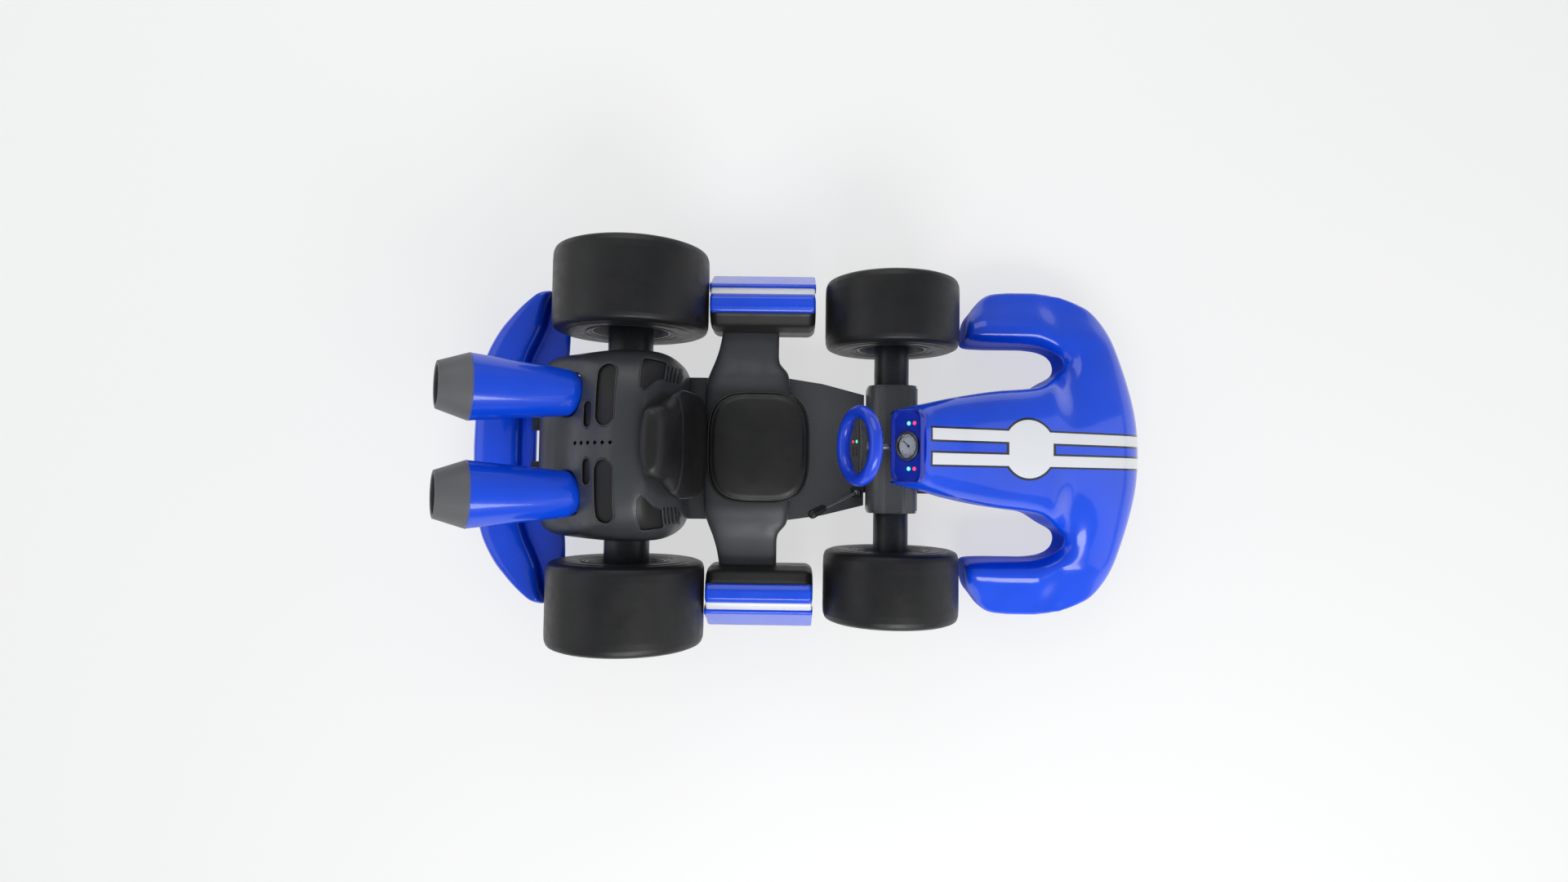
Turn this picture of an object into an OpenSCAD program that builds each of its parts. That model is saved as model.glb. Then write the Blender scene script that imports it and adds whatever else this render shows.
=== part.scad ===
// Single-seat kart chassis with bodywork: frame, axles, wheels, steering, pedals,
// engine bay and fairings. Millimetres. +X forward, +Y to the driver's left, +Z up.
// Origin: on the ground, below the middle of the overall box.

/* [Wheels] */
// Outer radius of the rear tyres
rear_r = 277; // [272:1:279]
// Outer radius of the front tyres
front_r = 241; // [236:1:242]
// Width over the two rear tyres
overall_w = 1400; // [1396:1:1410]
// Width over the two front tyres
front_overall_w = 1222; // [1218:1:1226]
// Width of a rear tyre
rear_tyre_w = 298; // [292:1:300]
// Width of a front tyre
front_tyre_w = 256; // [250:1:258]
// Radius of the bead seat of the rear rims
rear_bead_r = 142; // [140:1:150]
// Radius of the bead seat of the front rims
front_bead_r = 125; // [124:1:132]
// Rounding of the tyre shoulders
shoulder_r = 26; // [18:1:30]

/* [Frame] */
// Half distance between the two main rails
rail_y = 142; // [140:1:144]
// Radius of the main rails
rail_r = 16; // [14:1:16]
// Height of the rail centres above the ground
rail_z = 149; // [149:1:149]
// Thickness of the floor pan
pan_t = 7; // [6:1:7]
// Half width of the floor pan at the seat
pan_half = 262; // [250:1:264]

/* [Steering] */
// Radius of the steering wheel to the middle of its grip
wheel_ring_r = 108; // [104:1:112]
// Radius of the steering wheel grip
grip_r = 22; // [18:1:23]
// Radius of the steering column
column_r = 11; // [9:1:12]
// Number of teeth on each bevel gear
bevel_teeth = 16; // [16:1:16]
// Radius of the kingpins
kingpin_r = 10; // [9:1:11]

/* [Engine bay] */
// Height of the ridge of the engine cover
cover_top = 590; // [580:1:596]
// Thickness of the engine cover wall
cover_wall = 9; // [7:1:10]
// Tilt of the two exhaust cones
exhaust_tilt = 30; // [29:1:31]
// Half distance between the exhaust cones
exhaust_y = 171; // [169:1:173]

/* [Bodywork] */
// Thickness of the nose fairing wall
nose_wall = 8; // [6:1:9]
// Height of the seat cushion
seat_h = 78; // [70:1:80]

/* [Hidden] */
$fn = 64;

blue = [0.10, 0.28, 0.92];
dark = [0.13, 0.13, 0.14];
mid = [0.27, 0.28, 0.29];
carbon = [0.32, 0.33, 0.34];
steel = [0.62, 0.63, 0.65];

rear_x = -633;
front_x = 308;
rear_z = rear_r;
front_z = front_r;
rail_top = rail_z + rail_r;
pan_z = rail_top;
pan_top = pan_z + pan_t;
rear_wy = overall_w / 2 - rear_tyre_w / 2;
front_wy = front_overall_w / 2 - front_tyre_w / 2;
pin_y = 483;
arm_x = 40.7;
rack_x = front_x + arm_x;
rack_z = front_z - 60.4;
pinion_x = rack_x - 13.7;

// Steering column: the wheel centre, the slope and the gear apex
wheel_x = 165;
wheel_z = 575;
col_a = 24;
col_len = (pinion_x - wheel_x) / cos(col_a);
apex_z = wheel_z - col_len * sin(col_a);

// Dash plane: a lower rear edge and its slope
dash_x = 270;
dash_z = 545;
dash_a = 47.4;
dash_l = 134;

// Lever: its pivot and its lean
lever_x = 189;
lever_y = -156;
lever_z = pan_top + 22;

// ---------------------------------------------------------------- helpers
function lerp(a, b, t) = a + (b - a) * t;
function spow(v, p) = sign(v) * pow(abs(v), p);
function sm(t) = let(u = min(1, max(0, t))) u * u * (3 - 2 * u);

module ycyl(r, y0, y1, f = 64) translate([0, y0, 0]) rotate([-90, 0, 0]) cylinder(h = y1 - y0, r = r, $fn = f);
module xcyl(r, x0, x1, f = 64) translate([x0, 0, 0]) rotate([0, 90, 0]) cylinder(h = x1 - x0, r = r, $fn = f);
module seg(p, q, r, r2 = -1) {
  v = q - p;
  l = norm(v);
  translate(p) rotate([0, acos(v[2] / l), atan2(v[1], v[0])]) cylinder(h = l, r1 = r, r2 = r2 < 0 ? r : r2);
}
module rr2(w, h, r) {
  square([w - 2 * r, h], center = true);
  square([w, h - 2 * r], center = true);
  for (sx = [-1, 1], sy = [-1, 1]) translate([sx * (w / 2 - r), sy * (h / 2 - r)]) circle(r = r);
}
module sides() { children(); mirror([0, 1, 0]) children(); }
module box(x0, x1, y0, y1, z0, z1) translate([x0, y0, z0]) cube([x1 - x0, y1 - y0, z1 - z0]);

// Closed skin over a row of rings that all have the same number of points
module loft(rings, flip = false) {
  n = len(rings[0]);
  m = len(rings);
  pts = [for (r = rings) for (p = r) p];
  side = [for (j = [0:m - 2]) for (i = [0:n - 1])
    let (a = j * n + i, b = j * n + (i + 1) % n, c = (j + 1) * n + (i + 1) % n, d = (j + 1) * n + i)
    each [[a, d, c], [a, c, b]]];
  caps = [[for (i = [0:n - 1]) i], [for (i = [0:n - 1]) (m - 1) * n + n - 1 - i]];
  all = concat(side, caps);
  polyhedron(points = pts, faces = flip ? [for (f = all) [for (i = [len(f) - 1:-1:0]) f[i]]] : all, convexity = 8);
}

// ---------------------------------------------------------------- wheels
module tyre2d(r, w, rb) {
  difference() {
    union() {
      translate([rb, -w / 2 + shoulder_r]) square([r - rb, w - 2 * shoulder_r]);
      translate([rb, -w / 2]) square([r - rb - shoulder_r, w]);
      for (s = [-1, 1]) translate([r - shoulder_r, s * (w / 2 - shoulder_r)]) circle(r = shoulder_r);
    }
    translate([rb - 1, -w / 2 + 24]) square([r - rb - 15, w - 48]);
  }
}
module tyre(r, w, rb) color(dark) rotate([-90, 0, 0]) rotate_extrude($fn = 96) tyre2d(r, w, rb);

// A dished rim: barrel, centre disc and hub; the disc and hub are given from the middle plane, outwards
module rim(rb, w, disc, hub0, hub1, hub_r, bore, windows, win_r, win_at) {
  color(mid) difference() {
    rotate([-90, 0, 0]) rotate_extrude($fn = 96) {
      translate([rb - 8, -w / 2 + 6]) square([8, w - 12]);
      translate([bore, disc]) square([rb - 7 - bore, 9]);
      translate([bore, hub0]) square([hub_r - bore, hub1 - hub0]);
    }
    for (i = [0:windows - 1]) rotate([0, (i + 0.5) * 360 / windows, 0])
      translate([win_at, 0, 0]) ycyl(win_r, disc - 5, disc + 14, 32);
  }
}
module front_tyre_left() translate([front_x, front_wy, front_z]) tyre(front_r, front_tyre_w, front_bead_r);
module front_tyre_right() mirror([0, 1, 0]) front_tyre_left();
module front_rim_left() translate([front_x, front_wy, front_z])
  rim(front_bead_r, front_tyre_w, 56, 36, 98, 30, 14.05, 6, 17, 76);
module front_rim_right() mirror([0, 1, 0]) front_rim_left();
module rear_tyres() sides() translate([rear_x, rear_wy, rear_z]) tyre(rear_r, rear_tyre_w, rear_bead_r);
module rear_rims() sides() translate([rear_x, rear_wy, rear_z])
  rim(rear_bead_r, rear_tyre_w, 46, 34, 90, 42, 20, 6, 21, 88);

// ---------------------------------------------------------------- frame
module frame_rails() color(dark) sides() translate([0, rail_y, rail_z]) xcyl(rail_r, -937, 980);
module cross_tubes() color(dark) difference() {
  for (x = [-921, -745, -552, -330, -60, 120, 520, 720, 960]) translate([x, 0, rail_z]) ycyl(14, -rail_y, rail_y, 48);
  sides() translate([0, rail_y, rail_z]) xcyl(rail_r, -990, 1000);
}
bolt_xs = [-820, -420];
foot_xs = [450, 700];
module floor_pan() color(carbon) difference() {
  translate([0, 0, pan_z]) linear_extrude(pan_t) polygon([
    [-925, -pan_half], [-60, -pan_half], [60, -244], [216, -204],
    [216, 204], [60, 244], [-60, pan_half], [-925, pan_half]]);
  for (x = bolt_xs) sides() translate([x, rail_y, pan_z - 1]) cylinder(h = pan_t + 2, r = 4.05, $fn = 32);
}
module footwell_pan() color(carbon) difference() {
  translate([0, 0, pan_z]) linear_extrude(pan_t) polygon([
    [400, -158], [760, -158], [760, 158], [400, 158]]);
  for (x = foot_xs) sides() translate([x, rail_y, pan_z - 1]) cylinder(h = pan_t + 2, r = 4.05, $fn = 32);
  for (sx = [-1, 1], sy = [-1, 1]) translate([560 + sx * 40, sy * 60, pan_z - 1]) cylinder(h = pan_t + 2, r = 4.25, $fn = 32);
}
module floor_bolts() color(steel) for (x = concat(bolt_xs, foot_xs)) sides() translate([x, rail_y, 0]) {
  translate([0, 0, pan_top]) cylinder(h = 3, r = 7.5, $fn = 32);
  translate([0, 0, pan_z + 0.5]) cylinder(h = pan_t, r = 4, $fn = 32);
}

// ---------------------------------------------------------------- front axle
hs_w = 180;
hs_h = 332 - rail_top;
module front_housing() color(carbon) translate([front_x, 0, rail_top + hs_h / 2]) difference() {
  union() {
    rotate([90, 0, 0]) translate([0, 0, -217]) linear_extrude(434) rr2(hs_w, hs_h, 60);
    rotate([90, 0, 0]) translate([0, 0, -226]) linear_extrude(452) rr2(hs_w - 8, hs_h - 8, 56);
  }
  rotate([90, 0, 0]) translate([0, 0, -219]) linear_extrude(438) rr2(hs_w - 12, hs_h - 12, 54);
  // passage of the pinion shaft and of the track rods
  translate([pinion_x - front_x, 0, 0]) cylinder(h = 120, r = 10.05, $fn = 48);
  translate([rack_x - front_x, 0, rack_z - rail_top - hs_h / 2]) ycyl(7, -230, 230, 48);
}
module front_axle_tubes() color(dark) sides() {
  translate([front_x, 0, front_z]) difference() {
    union() {
      ycyl(62, 226, 446, 96);
      for (s = [-1, 1]) translate([0, pin_y, s * 39 - 10]) {
        cylinder(h = 20, r = 27);
        translate([-27, -44, 0]) cube([54, 44, 20]);
      }
    }
    ycyl(54, 225, 434, 96);
    translate([0, pin_y, -60]) cylinder(h = 120, r = kingpin_r);
    // room for the knuckle boss
    translate([0, pin_y, -28.7]) cylinder(h = 57.4, r = 34);
  }
}
module kingpins() color(steel) sides() translate([front_x, pin_y, front_z]) {
  translate([0, 0, -49]) cylinder(h = 98, r = kingpin_r);
  translate([0, 0, 49]) cylinder(h = 6, r = 16, $fn = 6);
  translate([0, 0, -55]) cylinder(h = 6, r = 16, $fn = 6);
}
module knuckle_left() color(steel) translate([front_x, pin_y, front_z]) difference() {
  union() {
    translate([0, 0, -28.2]) cylinder(h = 56.4, r = 25);
    ycyl(22, 0, 35.5);
    ycyl(14, 30, 116);
    // nut on the spindle end
    ycyl(19, 98.5, 111, 6);
    // arm, reaching forwards and down to the track rod
    box(10, arm_x + 9, -9, 9, -14, 4);
    box(arm_x - 7.5, arm_x + 9, -9, 9, -49, 4);
    translate([arm_x, 0, -72]) cylinder(h = 30, r = 4, $fn = 32);
  }
  translate([0, 0, -40]) cylinder(h = 80, r = kingpin_r + 0.05);
}
module knuckle_right() mirror([0, 1, 0]) knuckle_left();

// ---------------------------------------------------------------- steering
// A straight-cut bevel gear with slim teeth, its big end at z = 0 and its apex above
module bevel(turn) {
  d = 24 / tan(57);
  h = 6;
  step = 360 / bevel_teeth;
  rotate(turn) linear_extrude(height = h, scale = (d - h) / d) polygon([for (i = [0:bevel_teeth - 1])
    for (k = [[21.6, -7.5], [26, -2.6], [26, 2.6], [21.6, 7.5]]) k[0] * [cos(i * step + k[1]), sin(i * step + k[1])]]);
}
bevel_d = 24 / tan(57);
module col_frame() translate([wheel_x, 0, wheel_z]) rotate([0, 90 + col_a, 0]) children();
module steering_column() color(steel) {
  col_frame() {
    translate([0, 0, 27]) cylinder(h = col_len - bevel_d - 6 - 27, r = column_r);
    translate([0, 0, col_len - bevel_d - 6]) cylinder(h = 6, r = 20);
    translate([0, 0, col_len - bevel_d]) bevel(0);
  }
}
button_xs = [22, -2];
module steering_hub() color(mid) col_frame() {
  // boss, centre pad with two button wells, and the two side spokes
  translate([0, 0, 13]) cylinder(h = 14, r = 20);
  difference() {
    translate([7, 0, -7]) linear_extrude(20) rr2(66, 70, 18);
    for (x = button_xs) translate([x, 13, -8]) cylinder(h = 14, r = 5.3, $fn = 32);
  }
  for (s = [-1, 1]) translate([0, s * 60, 3.5]) cube([46, 62, 13], center = true);
}
module steering_rim() color(blue) col_frame() difference() {
  rotate_extrude($fn = 128) translate([wheel_ring_r, 0]) circle(r = grip_r, $fn = 48);
  for (s = [-1, 1]) translate([0, s * 60, 3.5]) cube([46, 62, 13], center = true);
}
module button(x) col_frame() translate([x, 13, -11]) cylinder(h = 13.5, r = 5, $fn = 32);
module button_red() color([0.9, 0.1, 0.1]) button(button_xs[0]);
module button_green() color([0.2, 0.8, 0.3]) button(button_xs[1]);

module steering_gearbox() color(mid) difference() {
  union() {
    box(pinion_x - 44, pinion_x + 34, -36, 36, apex_z - 40, apex_z + 38);
    // hanger up to the dash beam
    box(pinion_x + 6, pinion_x + 26, -36, 36, apex_z + 38, apex_z + 56);
  }
  box(pinion_x - 36, pinion_x + 28, -30, 30, apex_z - 32, apex_z + 32);
  translate([pinion_x, 0, apex_z - 60]) cylinder(h = 40, r = 10.05, $fn = 48);
  col_frame() translate([0, 0, 40]) cylinder(h = col_len - 40, r = column_r + 0.05, $fn = 64);
}
pinion_teeth = 10;
module pinion2d() {
  step = 360 / pinion_teeth;
  polygon([for (i = [0:pinion_teeth - 1]) for (k = [[6.1, -11], [9.3, -4], [9.3, 4], [6.1, 11]])
    k[0] * [cos(i * step + k[1]), sin(i * step + k[1])]]);
}
module pinion_shaft() color(steel) translate([pinion_x, 0, 0]) {
  translate([0, 0, rack_z + 9]) cylinder(h = apex_z - bevel_d - 6 - rack_z - 9, r = 10);
  translate([0, 0, rack_z - 5]) linear_extrude(14) rotate(18) pinion2d();
  translate([0, 0, apex_z - bevel_d - 6]) cylinder(h = 6, r = 20);
  translate([0, 0, apex_z - bevel_d]) bevel(180 / bevel_teeth);
}
rack_pitch = 2 * PI * 8 / pinion_teeth;
module steering_rack() color(steel) {
  // toothed bar
  translate([rack_x, 0, rack_z - 5]) linear_extrude(10) {
    translate([-3.2, -70]) square([8, 140]);
    for (i = [-6:6]) translate([-3.2, i * rack_pitch]) polygon([[0.5, -1.7], [-3.6, -0.7], [-3.6, 0.7], [0.5, 1.7]]);
  }
  sides() {
    translate([rack_x, 0, rack_z]) ycyl(4.8, 68, pin_y - 9.5, 32);
    difference() {
      translate([rack_x, pin_y, rack_z - 5]) cylinder(h = 10, r = 11.5, $fn = 48);
      translate([rack_x, pin_y, rack_z - 6]) cylinder(h = 12, r = 6.6, $fn = 48);
    }
  }
}

// ---------------------------------------------------------------- bodywork: nose
// Side outlines and heights of the nose, along its length
hood_half = [[262, 112], [300, 124], [391, 146], [501, 172], [650, 200], [765, 214], [805, 221], [829, 230], [855, 246], [880, 262], [905, 277], [925, 291], [936, 303], [940, 314]];
ridge = [[262, 655], [361, 648], [401, 622], [590, 545], [740, 480], [895, 412], [1050, 338], [1130, 296], [1180, 255], [1205, 220], [1218, 190], [1222, 172]];
hood_edge = [[262, 520], [411, 500], [590, 425], [740, 360], [895, 300]];
hood_low = [[262, 430], [400, 400], [470, 250], [560, 176], [640, 120], [895, 80]];
nose_half = [[895, 597], [950, 588], [1022, 561], [1059, 540], [1095, 502], [1131, 444], [1167, 346], [1190, 255], [1205, 180], [1216, 100], [1222, 30]];
horn_in = [[583, 404], [592, 396], [620, 391], [690, 388], [805, 388], [845, 385], [875, 380], [893, 374], [910, 364], [924, 350], [934, 334], [940, 314]];
horn_out = [[583, 440], [592, 490], [619, 530], [655, 575], [692, 594], [760, 600], [850, 600], [895, 597], [940, 590]];
function nose_x(list, x) = lookup(x, list);
// height of the deck outside the ridge
function deck(x, y) = lerp(252, 165, sm((abs(y) - 400) / 200)) * (x < 1000 ? 1 : lerp(1, 0.74, sm((x - 1000) / 222)));
function front_top(x, y) = let(r = lookup(x, ridge), b = min(deck(x, y), r)) b + (r - b) * exp(-pow(abs(y) / lerp(240, 300, sm((x - 895) / 300)), 2.6));
// how far the deck rolls down beside the two notches between hood and horns
function notch_gap(x, u) = let(a = lookup(x, hood_half), b = lookup(x, horn_in))
  x < 880 ? abs(u - (a + b) / 2) - (b - a) / 2 : 58 * (sqrt(pow((x - 880) / 60, 2) + pow((u - 320) / 58, 2)) - 1);
function notch_roll(x, y) = 30 * pow(max(0, 1 - max(0, notch_gap(x, abs(y))) / 45), 2);
// height of the front body, rounded over at its outer edge
function front_z(x, y, o) = let(w = lookup(x, nose_half) - o)
  130 + (front_top(x, y) - o - 130) * pow(max(0, 1 - pow(min(1, abs(y) / w), 2.8)), 0.42) - notch_roll(x, y);

function hood_ring(x, o, n = 18) = let(w = lookup(x, hood_half) - o, zt = lookup(x, ridge) - o, ze = min(lookup(x, hood_edge), zt - 30),
    zb = o > 0 ? -30 : lookup(x, hood_low), t = sm((x - 825) / 115), zs = lerp(ze, front_z(x, w, o), t))
  [for (i = [0:n]) let(a = -30 + 240 * i / n, y = w * spow(cos(a), 2 / 2.7)) a < 0 || a > 180 ? [x, a < 0 ? w : -w, lerp(zs, zb, (a < 0 ? -a : a - 180) / 30)]
    : [x, y, lerp(ze + (zt - ze) * spow(sin(a), 2 / 2.4), front_z(x, y, o), t)]];
function front_ring(x, o, n = 24) = let(w = lookup(x, nose_half) - o, zb = o > 0 ? -30 : 80)
  concat([for (i = [0:n]) let(a = 180 * i / n, y = w * spow(cos(a), 0.9)) [x, y, front_z(x, y, o)]],
    [[x, -w * 0.97, zb], [x, w * 0.97, zb]]);
function horn_ring(x, o, n = 12) = let(y0 = lookup(x, horn_in) + o, y1 = lookup(x, horn_out) - o, yc = (y0 + y1) / 2, h = (y1 - y0) / 2, k = min(1, (y1 - y0) / 190),
    zb = o > 0 ? -30 : lerp(120, 80, k), t = sm((x - 835) / 105))
  concat([for (i = [0:n]) let(a = 180 * i / n, y = yc + h * spow(cos(a), 2 / 2.2), s = spow(sin(a), 2 / 2.4))
      [x, y, lerp(140 + (lerp(190, deck(x, y), sm(k)) + 6 - o - 140) * s, front_z(x, y, o), t)]],
    [[x, yc - h * 0.96, zb], [x, yc + h * 0.96, zb]]);
hood_xs = [282, 310, 361, 401, 450, 500, 560, 620, 690, 760, 810, 840, 865, 890, 910, 926, 936, 940.5];
front_xs = [940, 955, 975, 1000, 1025, 1050, 1085, 1115, 1140, 1163, 1183, 1198, 1210, 1218, 1222];
horn_xs = [583, 592, 606, 625, 655, 692, 740, 790, 830, 860, 885, 906, 922, 934, 940.5];
module nose_body(o) {
  loft([for (x = hood_xs) hood_ring(o > 0 && x < 300 ? 250 : o > 0 && x > 940 ? 954 : x, o)]);
  loft([for (x = front_xs) front_ring(x == 940 ? x + o : min(x, 1222 - o), o)]);
  sides() loft([for (x = horn_xs) horn_ring(o > 0 && x > 940 ? 954 : max(x, 583 + o), o)]);
}
module dash_frame() translate([dash_x, 0, dash_z]) rotate([0, -dash_a, 0]) children();
module nose_fairing() color(blue) difference() {
  union() {
    difference() {
      nose_body(0);
      nose_body(nose_wall);
    }
    // fixing bosses on the inside of the deck, at the frame ends
    intersection() {
      for (x = [940, 975], y = [100, 130]) sides() hull() {
        translate([x, y, 170]) cylinder(h = 10, r = 9, $fn = 20);
        translate([x, y, 420]) cylinder(h = 10, r = 12, $fn = 20);
      }
      nose_body(2);
    }
  }
  // the rear is cut along the dash
  dash_frame() translate([-200, -300, -10.4]) cube([340, 600, 400]);
  // legs pass below the dash
  hull() for (y = [-82, 82], z = [345, 445]) translate([0, y, z]) xcyl(20, 200, 420, 24);
}
module dash_panel() color(blue) dash_frame() difference() {
  union() {
    translate([dash_l / 2, 0, -10]) linear_extrude(10) rr2(dash_l, 238, 36);
    // beam that carries the steering box
    translate([66, -90, -26]) cube([30, 180, 16]);
  }
  translate([71, 0, -30]) cylinder(h = 40, r = 38);
  for (y = [-72, 72], x = [74, 97]) translate([x, y, -11]) cylinder(h = 12, r = 4.5, $fn = 32);
}
module gauge_body() color(mid) dash_frame() translate([71, 0, 0]) difference() {
  union() {
    cylinder(h = 9, r = 46, $fn = 96);
    translate([0, 0, -34]) cylinder(h = 34, r = 37.7, $fn = 96);
  }
  translate([0, 0, -3]) cylinder(h = 13, r = 38, $fn = 96);
}
module gauge_lens() color([0.75, 0.8, 0.85, 0.4]) dash_frame() translate([71, 0, 0]) difference() {
  translate([0, 0, -3]) cylinder(h = 10, r = 38, $fn = 96);
  translate([0, 0, -3.1]) cylinder(h = 7.5, r = 36, $fn = 96);
}
module gauge_needle() color([0.1, 0.1, 0.1]) dash_frame() translate([71, 0, -2.6]) {
  cylinder(h = 2.4, r = 3.5, $fn = 32);
  rotate(140) translate([-6, -0.9, 0.6]) cube([32, 1.8, 1.2]);
}
module lamps(x) dash_frame() for (y = [-72, 72]) translate([x, y, -10]) {
  cylinder(h = 11, r = 4.5, $fn = 32);
  translate([0, 0, 10]) cylinder(h = 1.5, r = 6.5, $fn = 32);
}
module lamps_green() color([0.2, 0.9, 0.5]) lamps(74);
module lamps_red() color([0.9, 0.1, 0.3]) lamps(97);

// ---------------------------------------------------------------- bodywork: seat, beam and pods
beam_rear = [[0, -368], [230, -364], [270, -352], [322, -332], [370, -318], [421, -309]];
beam_front = [[0, -52], [230, -58], [270, -66], [316, -98], [340, -101], [421, -101]];
beam_top = [[0, 270], [200, 270], [260, 258], [330, 238], [421, 226]];
beam_low = [[0, 172], [262, 172], [275, 174], [330, 182], [421, 186]];
function beam_ring(y, n = 20) = let(t = abs(y), x0 = lookup(t, beam_rear), x1 = lookup(t, beam_front), z0 = lookup(t, beam_low), z1 = lookup(t, beam_top))
  [for (i = [0:n - 1]) let(a = 360 * (i + 0.5) / n) [(x0 + x1) / 2 + (x1 - x0) / 2 * spow(cos(a), 0.5), y, (z0 + z1) / 2 + (z1 - z0) / 2 * spow(sin(a), 0.5)]];
beam_ys = [-421, -395, -365, -340, -316, -290, -262, -230, -190, -100, 0, 100, 190, 230, 262, 290, 316, 340, 365, 395, 421];
module saddle_beam() color(mid) loft([for (y = beam_ys) beam_ring(y)], flip = true);

pod_x0 = -350;
pod_x1 = 30;
module pod_prism(x0, x1, pts) sides() translate([x0, 0, 0]) rotate([90, 0, 90]) linear_extrude(x1 - x0) polygon(pts);
module pod_bodies() color(dark) pod_prism(pod_x0, pod_x1, [
  [421, 140], [421, 232], [430, 268], [450, 300], [478, 320], [536, 310], [562, 270], [628, 112], [560, 104], [450, 108]]);
module pod_panels() color(blue) {
  pod_prism(pod_x0 + 3, pod_x1 - 3, [[478, 320], [484, 332], [500, 338], [530, 334], [545, 321], [536, 310]]);
  pod_prism(pod_x0 - 3, pod_x1, [[562, 270], [628, 112], [640, 106], [655, 112], [656, 128], [584, 296], [572, 294]]);
}
module pod_stripes() color([0.95, 0.95, 0.96]) pod_prism(pod_x0 + 4, pod_x1 - 4, [[536, 310], [545, 321], [558, 314], [572, 294], [562, 270]]);

module seat_cushion() color(dark) hull() for (sx = [-1, 1], sy = [-1, 1]) {
  translate([-168 + sx * 112, sy * 130, 272 + 14]) cylinder(h = seat_h - 30, r = 68, $fn = 32);
  translate([-168 + sx * 112, sy * 130, 272]) cylinder(h = seat_h, r = 52, $fn = 32);
}
back_half = [[282, 150], [330, 168], [400, 184], [480, 189], [530, 178], [570, 150], [610, 126], [660, 118], [690, 108], [704, 88]];
back_front = [[282, -352], [340, -348], [450, -379], [590, -418], [680, -444], [704, -462]];
back_rear = [[282, -396], [340, -402], [450, -430], [530, -462], [590, -500], [650, -524], [690, -524], [704, -505]];
function back_ring(z, n = 24) = let(x0 = lookup(z, back_rear), x1 = lookup(z, back_front), w = lookup(z, back_half))
  [for (i = [0:n - 1]) let(a = 360 * (i + 0.5) / n) [(x0 + x1) / 2 + (x1 - x0) / 2 * spow(cos(a), 0.7), w * spow(sin(a), 0.7), z]];
back_zs = [273, 282, 310, 350, 400, 450, 490, 530, 560, 590, 620, 660, 682, 696, 704];
module backrest() color(dark) loft([for (z = back_zs) back_ring(z)]);

// ---------------------------------------------------------------- engine bay
cover_half = [[-956, 262], [-948, 288], [-925, 308], [-880, 322], [-750, 333], [-640, 337], [-560, 330], [-500, 312], [-460, 290], [-438, 268], [-428, 248]];
cover_z = [[-956, 262], [-948, 300], [-925, 345], [-870, 400], [-800, 452], [-750, 505], [-700, 548], [-660, 574], [-620, cover_top - 2], [-560, cover_top], [-535, 584], [-500, 545], [-470, 500], [-445, 452], [-434, 420], [-428, 385]];
cover_xs = [-956, -948, -925, -890, -845, -800, -750, -700, -660, -620, -560, -535, -500, -470, -445, -434, -428];
function cover_ring(x, o, zb, n = 18) = let(w = lookup(x, cover_half) - o, zt = lookup(x, cover_z) - o)
  [for (i = [0:n]) let(a = 180 * i / n) [lerp(-956 + o, -428 - o, (x + 956) / 528), w * spow(cos(a), 2 / 3.6), zb + (zt - zb) * spow(sin(a), 2 / 3.6)]];
module cover_body(o, zb) loft([for (x = cover_xs) cover_ring(x, o, zb)]);
module slot(x0, x1, y0, y1, z0, g) hull() {
  r = (x1 - x0) / 2 + g;
  translate([(x0 + x1) / 2, y0 + r - g, z0]) cylinder(h = 700 - z0, r = r, $fn = 16);
  translate([(x0 + x1) / 2, y1 - r + g, z0]) cylinder(h = 700 - z0, r = r, $fn = 16);
}
module cover_openings(g) {
  sides() {
    slot(-690, -621, 53, 263, 400, g);
    slot(-737, -702, 50, 139, 400, g);
    translate([0, 0, 430]) linear_extrude(260) polygon([[-545 - g, 287 + g], [-477 + g, 280 + g], [-476 + g, 216 - g], [-500, 204 - g], [-521, 176 - g], [-531, 170 - g], [-543 - g, 180 - g]]);
    for (x = [-471, -461.5, -452, -442.5]) slot(x - 2.6, x + 2.6, 208, 264, 350, g / 2);
  }
}
module holes_row(r) for (i = [0:5]) translate([-771 + i * 28, 0, 400]) cylinder(h = 250, r = r, $fn = 13);
exh_x = -770;
exh_z = 429;
module exh_frame() sides() translate([exh_x, exhaust_y, exh_z]) rotate([0, -90 + exhaust_tilt, 0]) children();
module cone_shape(g, f = 96) exh_frame() {
  translate([0, 0, -g]) cylinder(h = 8 + g, r1 = 46 + g, r2 = 58 + g, $fn = f);
  translate([0, 0, 8]) cylinder(h = 14, r1 = 58 + g, r2 = 70 + g, $fn = f);
  translate([0, 0, 22]) cylinder(h = 22, r1 = 70 + g, r2 = 78 + g, $fn = f);
  translate([0, 0, 44]) cylinder(h = 318, r1 = 78 + g, r2 = 108.5 + g, $fn = f);
}
module engine_cover() color(mid) difference() {
  union() {
    difference() { cover_body(0, 196); cover_body(cover_wall, 180); }
  }
  cover_openings(0);
  holes_row(7.5);
  cone_shape(3, 40);
  // arches over the axle tubes
  for (z = [277, 250, 180]) translate([rear_x, 0, z]) ycyl(80.5, -400, 400);
  translate([rear_x - 80.5, -400, 150]) cube([161, 800, rear_z - 150]);
}
module vent_grilles() color(dark) difference() {
  intersection() {
    difference() { cover_body(cover_wall + 0.1, 180); cover_body(cover_wall + 3, 178); }
    union() { cover_openings(5); holes_row(12); }
  }
  cone_shape(3.3, 40);
}
module engine_block() color([0.5, 0.5, 0.52]) {
  box(-885, -750, -20, 120, pan_top, 290);
  for (i = [0:5]) box(-880, -756, -14, 114, 294 + i * 10, 299 + i * 10);
  box(-868, -768, -6, 106, 290, 352);
  box(-872, -764, -10, 110, 352, 360);
}
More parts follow.
